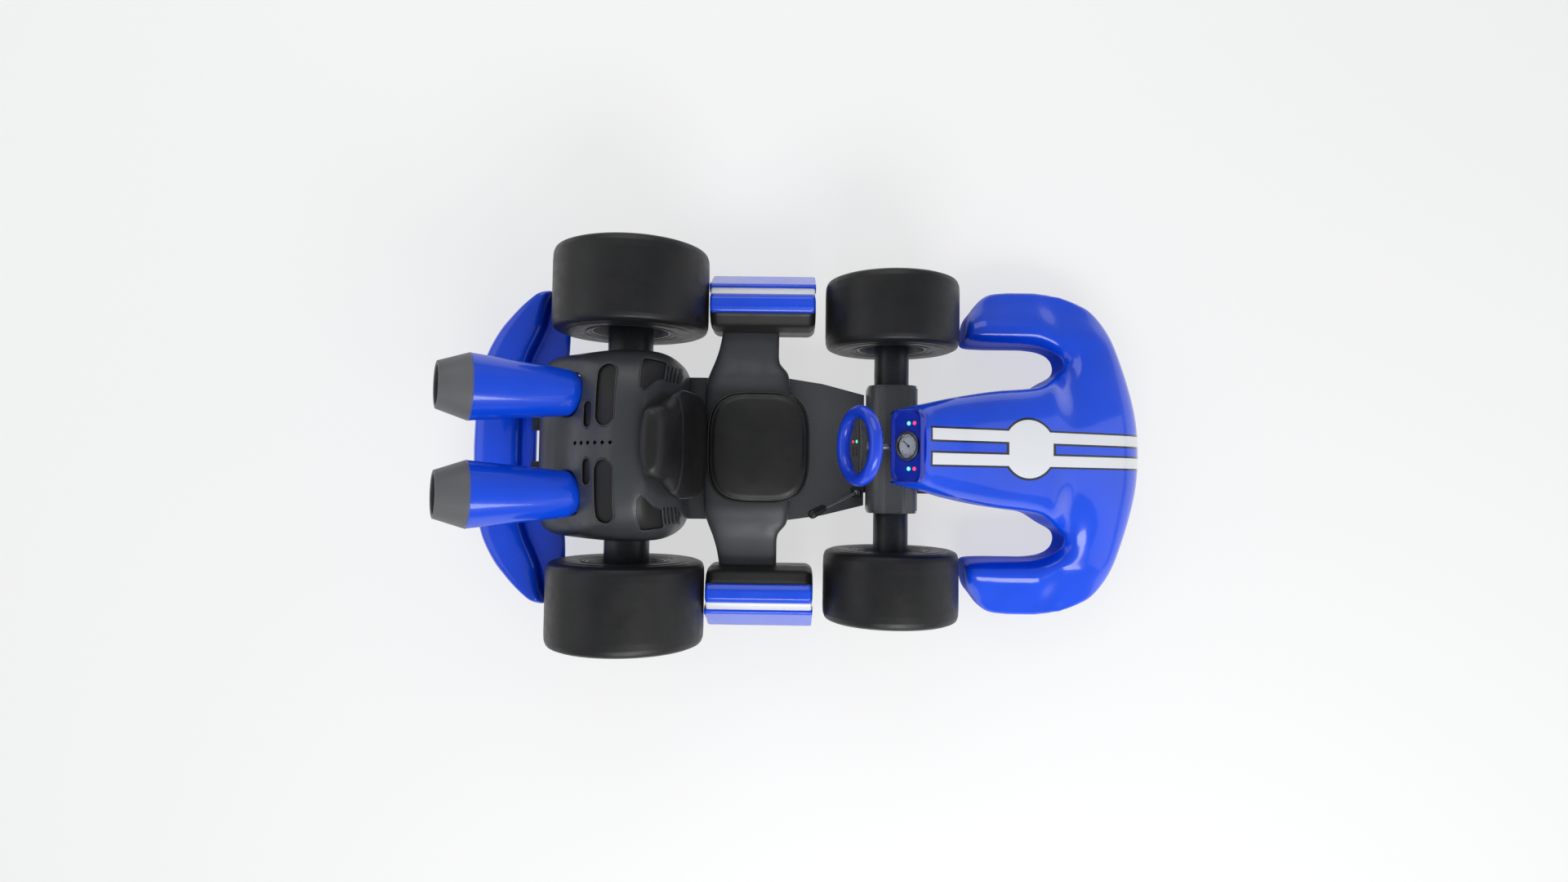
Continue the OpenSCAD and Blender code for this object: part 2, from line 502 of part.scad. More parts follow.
module fuel_tank() color([0.75, 0.76, 0.74]) {
  box(-520, -458, -130, 130, pan_top, 396);
  translate([-489, 70, 396]) cylinder(h = 14, r = 22);
}
module exhaust_manifold() color(steel) for (s = [-1, 1]) {
  p = [[exh_x, s * exhaust_y, exh_z], [exh_x + 36, s * exhaust_y, exh_z - 36 * tan(exhaust_tilt)], [-772, 50 + s * 60, 392], [-800, 50 + s * 32, 360]];
  difference() {
    union() for (i = [0:2]) {
      u = (p[i + 1] - p[i]) / norm(p[i + 1] - p[i]);
      seg(p[i] - u * (i == 0 ? 0 : 9), p[i + 1] + u * 9, 19 + i * 0.7);
    }
    box(-900, -700, -200, 300, 200, 360);
    cone_shape(0);
  }
}
module exhaust_cones() color(blue) difference() {
  cone_shape(0);
  exh_frame() translate([0, 0, 8]) cylinder(h = 355, r1 = 52, r2 = 104.5, $fn = 96);
  exh_frame() translate([0, 0, -1]) cylinder(h = 20, r = 17);
}
module exhaust_tips() color([0.4, 0.41, 0.42]) exh_frame() translate([0, 0, 362]) difference() {
  cylinder(h = 94, r1 = 107, r2 = 75, $fn = 96);
  translate([0, 0, -0.5]) cylinder(h = 95, r1 = 103, r2 = 66, $fn = 96);
}

bump_out = [[0, -1222], [150, -1218], [250, -1204], [330, -1184], [372, -1166], [433, -1130], [475, -1095], [512, -1060], [543, -1024], [570, -985], [578, -962]];
bump_mid = [[0, -1059], [230, -1056], [330, -1030], [400, -998], [448, -979], [520, -965], [560, -950], [578, -945]];
bump_in = [[0, -1010], [110, -1010], [180, -992], [260, -935], [330, -895], [420, -891], [480, -900], [540, -925], [565, -942]];
bump_ys = [-578, -572, -560, -543, -512, -475, -433, -372, -330, -250, -150, 0, 150, 250, 330, 372, 433, 475, 512, 543, 560, 572, 578];
function bump_ring(y, o, n = 20) = let(t = abs(y) + (o > 0 ? 0 : 0), k = t > 560 ? sqrt(max(0.05, 1 - pow((t - 560) / 18.6, 2))) : 1,
    x0 = lookup(t, bump_out) + o, x1 = lookup(t, bump_mid) - o, z0 = o > 0 ? 60 : 172 - 58 * k, z1 = 172 + 58 * k - o)
  [for (i = [0:n - 1]) let(a = 360 * (i + 0.5) / n) [(x0 + x1) / 2 + (x1 - x0) / 2 * spow(cos(a), 0.62), y, (z0 + z1) / 2 + (z1 - z0) / 2 * spow(sin(a), 0.62)]];
module rear_bumper() color(blue) difference() {
  union() {
    loft([for (y = bump_ys) bump_ring(y, 0)], flip = true);
    for (i = [1:len(bump_ys) - 3]) {
      a = bump_ys[i];
      b = bump_ys[i + 1];
      hull() for (y = [a, b]) {
        translate([lookup(abs(y), bump_mid) - 20, y - (y == b ? 0.5 : -0.5), 118]) cylinder(h = 26, r = 3, $fn = 12);
        translate([max(lookup(abs(y), bump_in), lookup(abs(y), bump_mid)) - 3, y - (y == b ? 0.5 : -0.5), 118]) cylinder(h = 18, r = 3, $fn = 12);
      }
    }
  }
  loft([for (y = bump_ys) if (abs(y) < 565) bump_ring(y, 7)], flip = true);
}
module bumper_brackets() color(dark) sides() {
  difference() {
    box(-1009.7, -930, 57, 105, 150, 192);
    translate([-921, 0, rail_z]) ycyl(14, -rail_y, rail_y, 48);
    box(-1010, -980, 57, 105, 100, 144.5);
  }
}

// ---------------------------------------------------------------- rear axle
module rear_axle_tubes() color(dark) sides() {
  difference() {
    union() {
      translate([rear_x, 0, rear_z]) ycyl(80, 110, 470, 96);
      box(rear_x - 34, rear_x + 34, 112, 128, pan_top, 230);
      box(rear_x - 34, rear_x + 34, 232, 248, pan_top, 230);
    }
    translate([rear_x, 0, rear_z]) ycyl(74, 124, 456, 96);
    translate([rear_x, 0, rear_z]) ycyl(45, 100, 480, 96);
  }
}
module rear_bearings() color(steel) sides() translate([rear_x, 0, rear_z]) for (y = [110, 456]) difference() {
  ycyl(45, y, y + 14, 96);
  ycyl(20.06, y - 1, y + 15, 96);
}
module rear_axle() color(steel) translate([rear_x, 0, rear_z]) {
  ycyl(20, -655, 655, 96);
  sides() {
    ycyl(30, 568, 585);
    ycyl(30, 641, 652, 6);
  }
}
sprocket_teeth = 31;
clutch_teeth = 12;
module sprocket2d(n, r) polygon([for (i = [0:n - 1]) for (k = [[r - 3.5, -0.36], [r + 3, -0.12], [r + 3, 0.12], [r - 3.5, 0.36]])
  k[0] * [cos((i + k[1]) * 360 / n), sin((i + k[1]) * 360 / n)]]);
module axle_sprocket() color(steel) translate([rear_x, 0, rear_z]) difference() {
  union() {
    translate([0, -57.5, 0]) rotate([90, 0, 0]) linear_extrude(5) sprocket2d(sprocket_teeth, 62);
    ycyl(34, -70, -50);
  }
  ycyl(20, -80, -40, 96);
  for (i = [0:4]) rotate([0, i * 72, 0]) translate([46, 0, 0]) ycyl(7, -70, -50, 32);
}
module brake_disc() color(steel) translate([rear_x, 0, rear_z]) difference() {
  union() {
    ycyl(85, 57, 63, 96);
    ycyl(34, 50, 70);
  }
  ycyl(20, 40, 80, 96);
  for (i = [0:11]) rotate([0, i * 30, 0]) translate([i % 2 == 0 ? 60 : 70, 0, 0]) ycyl(4, 50, 70, 24);
}
module brake_caliper() color([0.7, 0.12, 0.1]) difference() {
  union() {
    box(-582, -532, 42, 78, 250, 304);
    box(-560, -544, 66, 76, pan_top, 250);
    box(-566, -538, 60, 82, pan_top, pan_top + 8);
  }
  box(-600, -545, 55.5, 64.5, 230, 320);
  translate([rear_x, 0, rear_z]) ycyl(86.5, 55.5, 64.5, 96);
}
clutch_x = -815;
clutch_z = 262;
module clutch_drum() color(steel) translate([clutch_x, 0, clutch_z]) {
  ycyl(10, -92, -20.3);
  ycyl(36, -92, -74);
  translate([0, -57.5, 0]) rotate([90, 0, 0]) linear_extrude(5) rotate(5) sprocket2d(clutch_teeth, 24);
}
// Inner and outer link plates of the chain, as two closed loops, with the pins of the free runs
module chain_loop(g) {
  a = atan2(rear_z - clutch_z, rear_x - clutch_x);
  l = norm([rear_x - clutch_x, rear_z - clutch_z]);
  b = acos((62 - 24) / l);
  translate([clutch_x, clutch_z]) rotate(a) polygon(concat(
    [for (i = [0:8]) (24 + g) * [cos(180 - b + 2 * b * i / 8), sin(180 - b + 2 * b * i / 8)]],
    [for (i = [0:24]) [l, 0] + (62 + g) * [cos(180 + b + (360 - 2 * b) * i / 24), sin(180 + b + (360 - 2 * b) * i / 24)]]));
}
module drive_chain() color([0.3, 0.3, 0.31]) {
  for (y = [-57.9, -66.1]) translate([0, y + 3, 0]) rotate([90, 0, 0]) linear_extrude(2) difference() {
    chain_loop(5);
    chain_loop(-4);
  }
  // pins of the free runs
  a = atan2(rear_z - clutch_z, rear_x - clutch_x);
  l = norm([rear_x - clutch_x, rear_z - clutch_z]);
  b = acos((62 - 24) / l);
  for (s = [-1, 1], t = [0.38, 0.5, 0.62]) {
    p = [lerp(24 * cos(180 - b), l + 62 * cos(180 - b), t), s * lerp(24 * sin(180 - b), 62 * sin(180 - b), t)];
    translate([clutch_x + p[0] * cos(a) - p[1] * sin(a), 0, clutch_z + p[0] * sin(a) + p[1] * cos(a)]) ycyl(3, -64.5, -55.5, 24);
  }
}

// ---------------------------------------------------------------- pedals and lever
pedal_x = 700;
module pedal_bracket() color(mid) for (y = [-80, 80]) {
  for (s = [-1, 1]) translate([0, y + s * 18 - 3, 0]) box(pedal_x - 14, pedal_x + 14, 0, 6, pan_top, pan_top + 44);
  box(pedal_x - 20, pedal_x + 20, y - 26, y + 26, pan_top, pan_top + 5);
  translate([pedal_x, 0, pan_top + 30]) ycyl(5, y - 25, y + 25, 48);
}
module pedal(y) color(steel) {
  difference() {
    union() {
      translate([pedal_x, 0, pan_top + 30]) ycyl(10, y - 14.5, y + 14.5, 48);
      translate([pedal_x, 0, pan_top + 30]) rotate([0, -12, 0]) box(-4, 4, y - 9, y + 9, 4, 110);
      translate([pedal_x, 0, pan_top + 30]) rotate([0, -12, 0]) box(-8, 0, y - 30, y + 30, 100, 172);
    }
    translate([pedal_x, 0, pan_top + 30]) ycyl(5.06, y - 30, y + 30, 48);
  }
}
module accelerator_pedal() pedal(-80);
module brake_pedal() pedal(80);

module lever_base() color(dark) {
  for (s = [-1, 1]) translate([lever_x - 14, lever_y + s * 11 - 2.5, pan_top]) cube([28, 5, 32]);
  translate([lever_x - 20, lever_y - 18, pan_top]) cube([40, 36, 4]);
  translate([lever_x, 0, lever_z]) ycyl(4, lever_y - 14, lever_y + 14, 48);
}
module lever_frame() translate([lever_x, lever_y, lever_z]) children();
lever_top = [-128, -52, 196];
lever_tip = [-168, -70, 262];
module hand_lever() color([0.35, 0.35, 0.36]) lever_frame() difference() {
  union() {
    ycyl(11, -7, 7, 48);
    seg([0, 0, 0], lever_top, 5);
  }
  ycyl(4.05, -20, 20, 48);
}
module lever_grip() color(dark) lever_frame() {
  v = lever_tip - lever_top;
  l = norm(v);
  translate(lever_top) rotate([0, acos(v[2] / l), atan2(v[1], v[0])]) rotate_extrude()
    polygon([[0, 0], [11, 0], [13, 3], [14, l * 0.6], [15, l], [12, l + 7], [6, l + 10], [0, l + 10]]);
}

frame_rails();
cross_tubes();
floor_pan();
footwell_pan();
floor_bolts();
front_housing();
front_axle_tubes();
kingpins();
steering_gearbox();
nose_fairing();
dash_panel();
gauge_body();
gauge_lens();
lamps_green();
lamps_red();
saddle_beam();
pod_bodies();
pod_panels();
pod_stripes();
seat_cushion();
backrest();
engine_cover();
vent_grilles();
engine_block();
fuel_tank();
exhaust_manifold();
exhaust_cones();
exhaust_tips();
rear_bumper();
bumper_brackets();
rear_axle_tubes();
rear_bearings();
brake_caliper();
drive_chain();
pedal_bracket();
lever_base();
steering_rim();
steering_hub();
steering_column();
button_red();
button_green();
pinion_shaft();
steering_rack();
knuckle_left();
knuckle_right();
front_tyre_left();
front_rim_left();
front_tyre_right();
front_rim_right();
rear_axle();
rear_tyres();
rear_rims();
axle_sprocket();
brake_disc();
clutch_drum();
accelerator_pedal();
brake_pedal();
hand_lever();
lever_grip();
gauge_needle();
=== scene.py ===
import bpy, bmesh, math
import numpy as np
from mathutils import Vector, Matrix

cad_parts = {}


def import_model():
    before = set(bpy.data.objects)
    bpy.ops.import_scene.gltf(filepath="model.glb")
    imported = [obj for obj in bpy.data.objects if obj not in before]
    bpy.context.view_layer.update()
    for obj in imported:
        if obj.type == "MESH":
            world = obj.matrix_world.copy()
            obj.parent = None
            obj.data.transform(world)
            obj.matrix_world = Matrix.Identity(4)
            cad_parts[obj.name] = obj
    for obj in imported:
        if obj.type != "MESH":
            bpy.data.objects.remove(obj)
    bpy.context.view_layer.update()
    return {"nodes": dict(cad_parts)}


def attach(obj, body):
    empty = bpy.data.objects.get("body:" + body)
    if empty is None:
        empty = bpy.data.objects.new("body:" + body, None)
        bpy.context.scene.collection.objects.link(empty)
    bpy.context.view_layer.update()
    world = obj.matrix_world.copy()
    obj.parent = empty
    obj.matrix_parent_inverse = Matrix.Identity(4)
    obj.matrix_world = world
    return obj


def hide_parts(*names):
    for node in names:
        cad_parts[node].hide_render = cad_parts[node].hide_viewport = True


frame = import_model()
NODE = frame["nodes"]
scene = bpy.context.scene

# ------------------------------------------------------------------ numbers and helpers (millimetres in, metres out)
def pchip(tab):
    """smooth monotone curve through a table, held at both ends"""
    xs = np.array([p[0] for p in tab], float)
    ys = np.array([p[1] for p in tab], float)
    h = np.diff(xs)
    d = np.diff(ys) / h
    m = np.zeros(len(xs))
    for i in range(1, len(xs) - 1):
        if d[i - 1] * d[i] > 0:
            w1, w2 = 2 * h[i] + h[i - 1], h[i] + 2 * h[i - 1]
            m[i] = (w1 + w2) / (w1 / d[i - 1] + w2 / d[i])
    m[0] = d[0] if len(d) < 2 else d[0] * 1.5 - m[1] * 0.5
    m[-1] = d[-1] if len(d) < 2 else d[-1] * 1.5 - m[-2] * 0.5

    def f(x):
        x = min(max(x, xs[0]), xs[-1])
        i = min(max(int(np.searchsorted(xs, x) - 1), 0), len(h) - 1)
        t = (x - xs[i]) / h[i]
        return float((1 + 2 * t) * (1 - t) ** 2 * ys[i] + t * (1 - t) ** 2 * h[i] * m[i]
                     + t * t * (3 - 2 * t) * ys[i + 1] + t * t * (t - 1) * h[i] * m[i + 1])
    return f


def spow(v, p):
    return math.copysign(abs(v) ** p, v)


def sm(t):
    t = min(1.0, max(0.0, t))
    return t * t * (3 - 2 * t)


def lerp(a, b, t):
    return a + (b - a) * t


def obj(name, verts, faces, mat, smooth=True, sharp=None, scale=0.001):
    me = bpy.data.meshes.new(name)
    me.from_pydata([(v[0] * scale, v[1] * scale, v[2] * scale) for v in verts], [], faces)
    me.validate()
    me.update()
    o = bpy.data.objects.new(name, me)
    scene.collection.objects.link(o)
    if mat is not None:
        me.materials.append(mat)
    shade(o, smooth, sharp)
    return o


def shade(o, smooth=True, sharp=None):
    me = o.data
    me.polygons.foreach_set("use_smooth", [smooth] * len(me.polygons))
    if sharp:
        me.set_sharp_from_angle(angle=math.radians(sharp))
    me.update()


def fix_normals(o):
    bm = bmesh.new()
    bm.from_mesh(o.data)
    bmesh.ops.recalc_face_normals(bm, faces=bm.faces)
    bm.to_mesh(o.data)
    bm.free()
    o.data.update()


def bake_mods(o):
    bpy.context.view_layer.update()
    dg = bpy.context.evaluated_depsgraph_get()
    me = bpy.data.meshes.new_from_object(o.evaluated_get(dg), depsgraph=dg)
    old = o.data
    o.modifiers.clear()
    o.data = me
    bpy.data.meshes.remove(old)
    return o


def loft(rings, cap=True, closed=True):
    n = len(rings[0])
    verts = [p for r in rings for p in r]
    faces = []
    for j in range(len(rings) - 1):
        for i in range(n if closed else n - 1):
            faces.append((j * n + i, j * n + (i + 1) % n, (j + 1) * n + (i + 1) % n, (j + 1) * n + i))
    if cap:
        faces.append(tuple(reversed(range(n))))
        faces.append(tuple(range((len(rings) - 1) * n, len(rings) * n)))
    return verts, faces


def join_data(parts):
    verts, faces = [], []
    for v, f in parts:
        k = len(verts)
        verts += list(v)
        faces += [tuple(i + k for i in q) for q in f]
    return verts, faces


def voxel(o, size, smooth=6, factor=0.5):
    m = o.modifiers.new("remesh", "REMESH")
    m.mode = "VOXEL"
    m.voxel_size = size
    m.use_smooth_shade = True
    if smooth:
        s = o.modifiers.new("smooth", "SMOOTH")
        s.factor = factor
        s.iterations = smooth
    return bake_mods(o)


def cut(o, co, no, clear=True, where=None):
    """cut a mesh along a plane; clear drops the side the normal points to"""
    bm = bmesh.new()
    bm.from_mesh(o.data)
    geom = bm.verts[:] + bm.edges[:] + bm.faces[:]
    if where:
        fs = [f for f in bm.faces if where(f.calc_center_median() * 1000)]
        es = set(e for f in fs for e in f.edges)
        vs = set(v for f in fs for v in f.verts)
        geom = list(vs) + list(es) + fs
    bmesh.ops.bisect_plane(bm, geom=geom, dist=1e-6, plane_co=Vector(co) * 0.001, plane_no=Vector(no), clear_outer=clear)
    bm.to_mesh(o.data)
    bm.free()


def drop(o, test):
    bm = bmesh.new()
    bm.from_mesh(o.data)
    bmesh.ops.delete(bm, geom=[f for f in bm.faces if test(f.calc_center_median() * 1000)], context="FACES")
    bm.to_mesh(o.data)
    bm.free()


def solid(o, t, offset=-1, even=False):
    m = o.modifiers.new("wall", "SOLIDIFY")
    m.thickness = t * 0.001
    m.offset = offset
    m.use_even_offset = even
    return bake_mods(o)


def bevel(o, w, seg=3, angle=35):
    m = o.modifiers.new("bevel", "BEVEL")
    m.width = w * 0.001
    m.segments = seg
    m.limit_method = "ANGLE"
    m.angle_limit = math.radians(angle)
    m.harden_normals = False
    return m


def fillet(pts, seg=6, closed=True):
    """round the corners of a polyline given as (a, b, radius)"""
    out = []
    n = len(pts)
    for i, (x, y, r) in enumerate(pts):
        if r <= 0 or (not closed and i in (0, n - 1)):
            out.append((x, y))
            continue
        p = np.array([x, y], float)
        a = np.array(pts[i - 1][:2], float) - p
        b = np.array(pts[(i + 1) % n][:2], float) - p
        la, lb = np.linalg.norm(a), np.linalg.norm(b)
        a /= la
        b /= lb
        ang = math.acos(max(-1, min(1, float(a @ b))))
        if ang > math.pi - 0.02:
            out.append((x, y))
            continue
        d = min(r / math.tan(ang / 2), la * 0.49, lb * 0.49)
        r = d * math.tan(ang / 2)
        c = p + (a + b) / np.linalg.norm(a + b) * (r / math.sin(ang / 2))
        s, e = p + a * d - c, p + b * d - c
        t0, t1 = math.atan2(s[1], s[0]), math.atan2(e[1], e[0])
        dt = (t1 - t0 + math.pi) % (2 * math.pi) - math.pi
        for k in range(seg + 1):
            t = t0 + dt * k / seg
            out.append((c[0] + r * math.cos(t), c[1] + r * math.sin(t)))
    return out


def resample(pts, n, closed=True):
    p = np.array(pts, float)
    if closed:
        p = np.vstack([p, p[:1]])
    s = np.concatenate([[0], np.cumsum(np.linalg.norm(np.diff(p, axis=0), axis=1))])
    t = np.linspace(0, s[-1], n + 1 if closed else n)
    if closed:
        t = t[:-1]
    return np.stack([np.interp(t, s, p[:, k]) for k in range(p.shape[1])], 1)


def lathe_data(prof, n=160, closed=True):
    """turn a profile of (radius, along) about the local Z axis"""
    verts, faces = [], []
    m = len(prof)
    for i in range(n):
        a = 2 * math.pi * i / n
        for r, z in prof:
            verts.append((r * math.cos(a), r * math.sin(a), z))
    for i in range(n):
        j = (i + 1) % n
        for k in range(m if closed else m - 1):
            q = (k + 1) % m
            faces.append((i * m + k, j * m + k, j * m + q, i * m + q))
    return verts, faces


def place(verts, mat):
    a = np.array(verts, float)
    m = np.array(mat)
    return (a @ m[:3, :3].T + m[:3, 3]).tolist()


def frame_mat(origin, x, z):
    x, z = Vector(x).normalized(), Vector(z).normalized()
    y = z.cross(x)
    m = Matrix.Identity(4)
    for i in range(3):
        m[i][0], m[i][1], m[i][2], m[i][3] = x[i], y[i], z[i], origin[i]
    return m


def tube(path, r, n=10, closed=False):
    """round tube along a path of points (mm)"""
    p = [Vector(q) for q in path]
    k = len(p)
    rings = []
    prev = None
    for i in range(k):
        a = p[(i - 1) % k] if (closed or i > 0) else p[i]
        b = p[(i + 1) % k] if (closed or i < k - 1) else p[i]
        t = (b - a).normalized()
        if prev is None:
            u = t.cross(Vector((0, 0, 1)))
            if u.length < 1e-4:
                u = t.cross(Vector((0, 1, 0)))
        else:
            u = prev - t * prev.dot(t)
        u.normalize()
        prev = u
        w = t.cross(u)
        rings.append([tuple(p[i] + u * (r * math.cos(2 * math.pi * j / n)) + w * (r * math.sin(2 * math.pi * j / n))) for j in range(n)])
    if closed:
        verts, faces = loft(rings + [rings[0]], cap=False)
        base = len(rings) * n
        faces = [tuple(i - base if i >= base else i for i in f) for f in faces]
        verts = verts[:base]
        return verts, faces
    return loft(rings)


# ------------------------------------------------------------------ materials
class Mat:
    def __init__(self, name):
        self.m = bpy.data.materials.new(name)
        self.m.use_nodes = True
        self.t = self.m.node_tree
        self.b = self.t.nodes["Principled BSDF"]
        self.c = self.t.nodes.new("ShaderNodeTexCoord").outputs["Object"]

    def n(self, kind, **kw):
        node = self.t.nodes.new(kind)
        for k, v in kw.items():
            setattr(node, k, v)
        return node

    def link(self, a, b):
        self.t.links.new(a, b)

    def math(self, op, a, b=None, c=None, clamp=False):
        node = self.n("ShaderNodeMath", operation=op, use_clamp=clamp)
        for i, v in enumerate((a, b, c)):
            if v is None:
                continue
            if isinstance(v, (int, float)):
                node.inputs[i].default_value = v
            else:
                self.link(v, node.inputs[i])
        return node.outputs[0]

    def noise(self, scale, detail=4, rough=0.55, vec=None, dist=0.0):
        node = self.n("ShaderNodeTexNoise")
        node.inputs["Scale"].default_value = scale
        node.inputs["Detail"].default_value = detail
        node.inputs["Roughness"].default_value = rough
        node.inputs["Distortion"].default_value = dist
        self.link(vec or self.c, node.inputs["Vector"])
        return node.outputs["Fac"]

    def voronoi(self, scale, feature="F1", vec=None, out="Distance"):
        node = self.n("ShaderNodeTexVoronoi", feature=feature)
        node.inputs["Scale"].default_value = scale
        self.link(vec or self.c, node.inputs["Vector"])
        return node.outputs[out]

    def scaled(self, s):
        node = self.n("ShaderNodeMapping")
        node.inputs["Scale"].default_value = s
        self.link(self.c, node.inputs["Vector"])
        return node.outputs[0]

    def ramp(self, fac, stops):
        node = self.n("ShaderNodeValToRGB")
        e = node.color_ramp.elements
        while len(e) < len(stops):
            e.new(0.5)
        for i, (p, c) in enumerate(stops):
            e[i].position = p
            e[i].color = (*c, 1) if not isinstance(c, (int, float)) else (c, c, c, 1)
        self.link(fac, node.inputs[0])
        return node.outputs[0]

    def range(self, v, a, b, c, d, smooth=False):
        node = self.n("ShaderNodeMapRange", clamp=True)
        if smooth:
            node.interpolation_type = "SMOOTHSTEP"
        self.link(v, node.inputs["Value"])
        for k, x in zip(("From Min", "From Max", "To Min", "To Max"), (a, b, c, d)):
            node.inputs[k].default_value = x
        return node.outputs[0]

    def mix(self, fac, a, b):
        node = self.n("ShaderNodeMix", data_type="RGBA")
        for sock, v in ((node.inputs[0], fac), (node.inputs[6], a), (node.inputs[7], b)):
            if isinstance(v, (int, float)):
                sock.default_value = v
            elif isinstance(v, (tuple, list)):
                sock.default_value = (*v, 1)
            else:
                self.link(v, sock)
        return node.outputs[2]

    def set(self, **kw):
        for k, v in kw.items():
            k = k.replace("_", " ")
            k = {"ior": "IOR"}.get(k, k)
            sock = self.b.inputs[k]
            if isinstance(v, (int, float)):
                sock.default_value = v
            elif isinstance(v, (tuple, list)):
                sock.default_value = (*v, 1) if len(v) == 3 else v
            else:
                self.link(v, sock)
        return self

    def bump(self, height, strength=0.2, distance=0.001, after=None):
        node = self.n("ShaderNodeBump")
        node.inputs["Strength"].default_value = strength
        node.inputs["Distance"].default_value = distance
        self.link(height, node.inputs["Height"])
        if after is not None:
            self.link(after, node.inputs["Normal"])
        self.link(node.outputs[0], self.b.inputs["Normal"])
        return node.outputs[0]

    def wear(self, lo=0.53, hi=0.6):
        g = self.n("ShaderNodeNewGeometry").outputs["Pointiness"]
        k = self.range(g, lo, hi, 0, 1)
        return self.math("MULTIPLY", k, self.range(self.noise(60, 5, 0.7), 0.42, 0.6, 0, 1))

    def up(self):
        """how far a face looks upwards"""
        g = self.n("ShaderNodeNewGeometry")
        sep = self.n("ShaderNodeSeparateXYZ")
        self.link(g.outputs["Normal"], sep.inputs[0])
        return sep.outputs[2]

    def xyz(self):
        node = self.n("ShaderNodeSeparateXYZ")
        self.link(self.c, node.inputs[0])
        return node.outputs


BLUE = (0.0032, 0.0806, 0.86)


def paint(name, base=BLUE, stripes=False, rough=0.22):
    m = Mat(name)
    col = m.mix(m.range(m.noise(2.3, 3), 0.35, 0.65, 0, 1), tuple(c * 0.88 for c in base), tuple(min(1, c * 1.06) for c in base))
    if stripes:
        x, y, z = m.xyz()
        ay = m.math("ABSOLUTE", y)
        navy, white = (0.004, 0.007, 0.03), (0.86, 0.875, 0.9)

        def band(v, a, b):
            return m.math("MULTIPLY", m.math("GREATER_THAN", v, a), m.math("LESS_THAN", v, b))
        both = lambda p, q: m.math("MULTIPLY", p, q)
        either = lambda p, q: m.math("MAXIMUM", p, q)
        on = m.math("GREATER_THAN", x, 0.384)
        # two white bands edged with navy, closed at the dash end
        col = m.mix(both(either(band(ay, 0.014, 0.0211), band(ay, 0.0574, 0.064)), on), col, navy)
        col = m.mix(both(band(ay, 0.014, 0.064), band(x, 0.384, 0.391)), col, navy)
        col = m.mix(both(band(ay, 0.021, 0.0575), m.math("GREATER_THAN", x, 0.391)), col, white)
        # blank roundel, a true circle in plan, outlined where it stands out of the bands
        dx = m.math("SUBTRACT", x, 0.738)
        r = m.math("SQRT", m.math("ADD", m.math("MULTIPLY", dx, dx), m.math("MULTIPLY", y, y)))
        outside = m.math("GREATER_THAN", ay, 0.0574)
        col = m.mix(both(m.math("LESS_THAN", r, 0.105), outside), col, navy)
        col = m.mix(both(m.math("LESS_THAN", r, 0.097), outside), col, white)
        col = m.mix(both(m.math("LESS_THAN", ay, 0.0575), band(x, 0.661, 0.829)), col, white)
        col = m.mix(both(m.math("LESS_THAN", ay, 0.021), either(band(x, 0.651, 0.661), band(x, 0.829, 0.839))), col, navy)
    rv = m.range(m.noise(9, 5, 0.6), 0.3, 0.7, rough - 0.04, rough + 0.06)
    # painted shade: steep flanks are darkened towards deep blue, and they are given less coat and specular than the
    # faces that look up
    up = m.range(m.up(), 0.0, 0.55, 0, 1, smooth=True)
    col = m.mix(up, m.mix(0.4, col, (0.0, 0.006, 0.12)), col)
    m.set(Base_Color=col, Roughness=rv, Coat_Weight=m.range(up, 0, 1, 0.0, 0.62), Coat_Roughness=0.07, ior=m.range(up, 0, 1, 1.05, 1.45), Specular_IOR_Level=m.range(up, 0, 1, 0.12, 0.42))
    m.bump(m.noise(420, 2, 0.5), 0.05, 0.0003)
    return m.m


def plastic(name, base, rough=0.42, grain=900, depth=0.12, coat=0.0, var=0.12):
    m = Mat(name)
    k = m.range(m.noise(5, 4), 0.3, 0.7, 0, 1)
    col = m.mix(k, tuple(c * (1 - var) for c in base), tuple(c * (1 + var) for c in base))
    col = m.mix(m.wear(), col, tuple(min(1, c * 1.9 + 0.01) for c in base))
    m.set(Base_Color=col, Roughness=m.range(m.noise(17, 5, 0.65), 0.3, 0.7, rough - 0.06, rough + 0.09), Coat_Weight=coat, Coat_Roughness=0.25)
    m.bump(m.voronoi(grain), depth, 0.0004)
    return m.m


def metal(name, base, rough=0.3, brushed=None, metallic=1.0):
    m = Mat(name)
    if brushed:
        f = m.noise(1.0, 6, 0.7, vec=m.scaled(brushed))
    else:
        f = m.noise(60, 6, 0.7)
    col = m.mix(m.range(m.noise(11, 4), 0.35, 0.65, 0, 1), tuple(c * 0.82 for c in base), tuple(min(1, c * 1.08) for c in base))
    m.set(Base_Color=col, Metallic=metallic, Roughness=m.range(f, 0.25, 0.75, rough - 0.1, rough + 0.12))
    m.bump(f, 0.08, 0.0003)
    return m.m


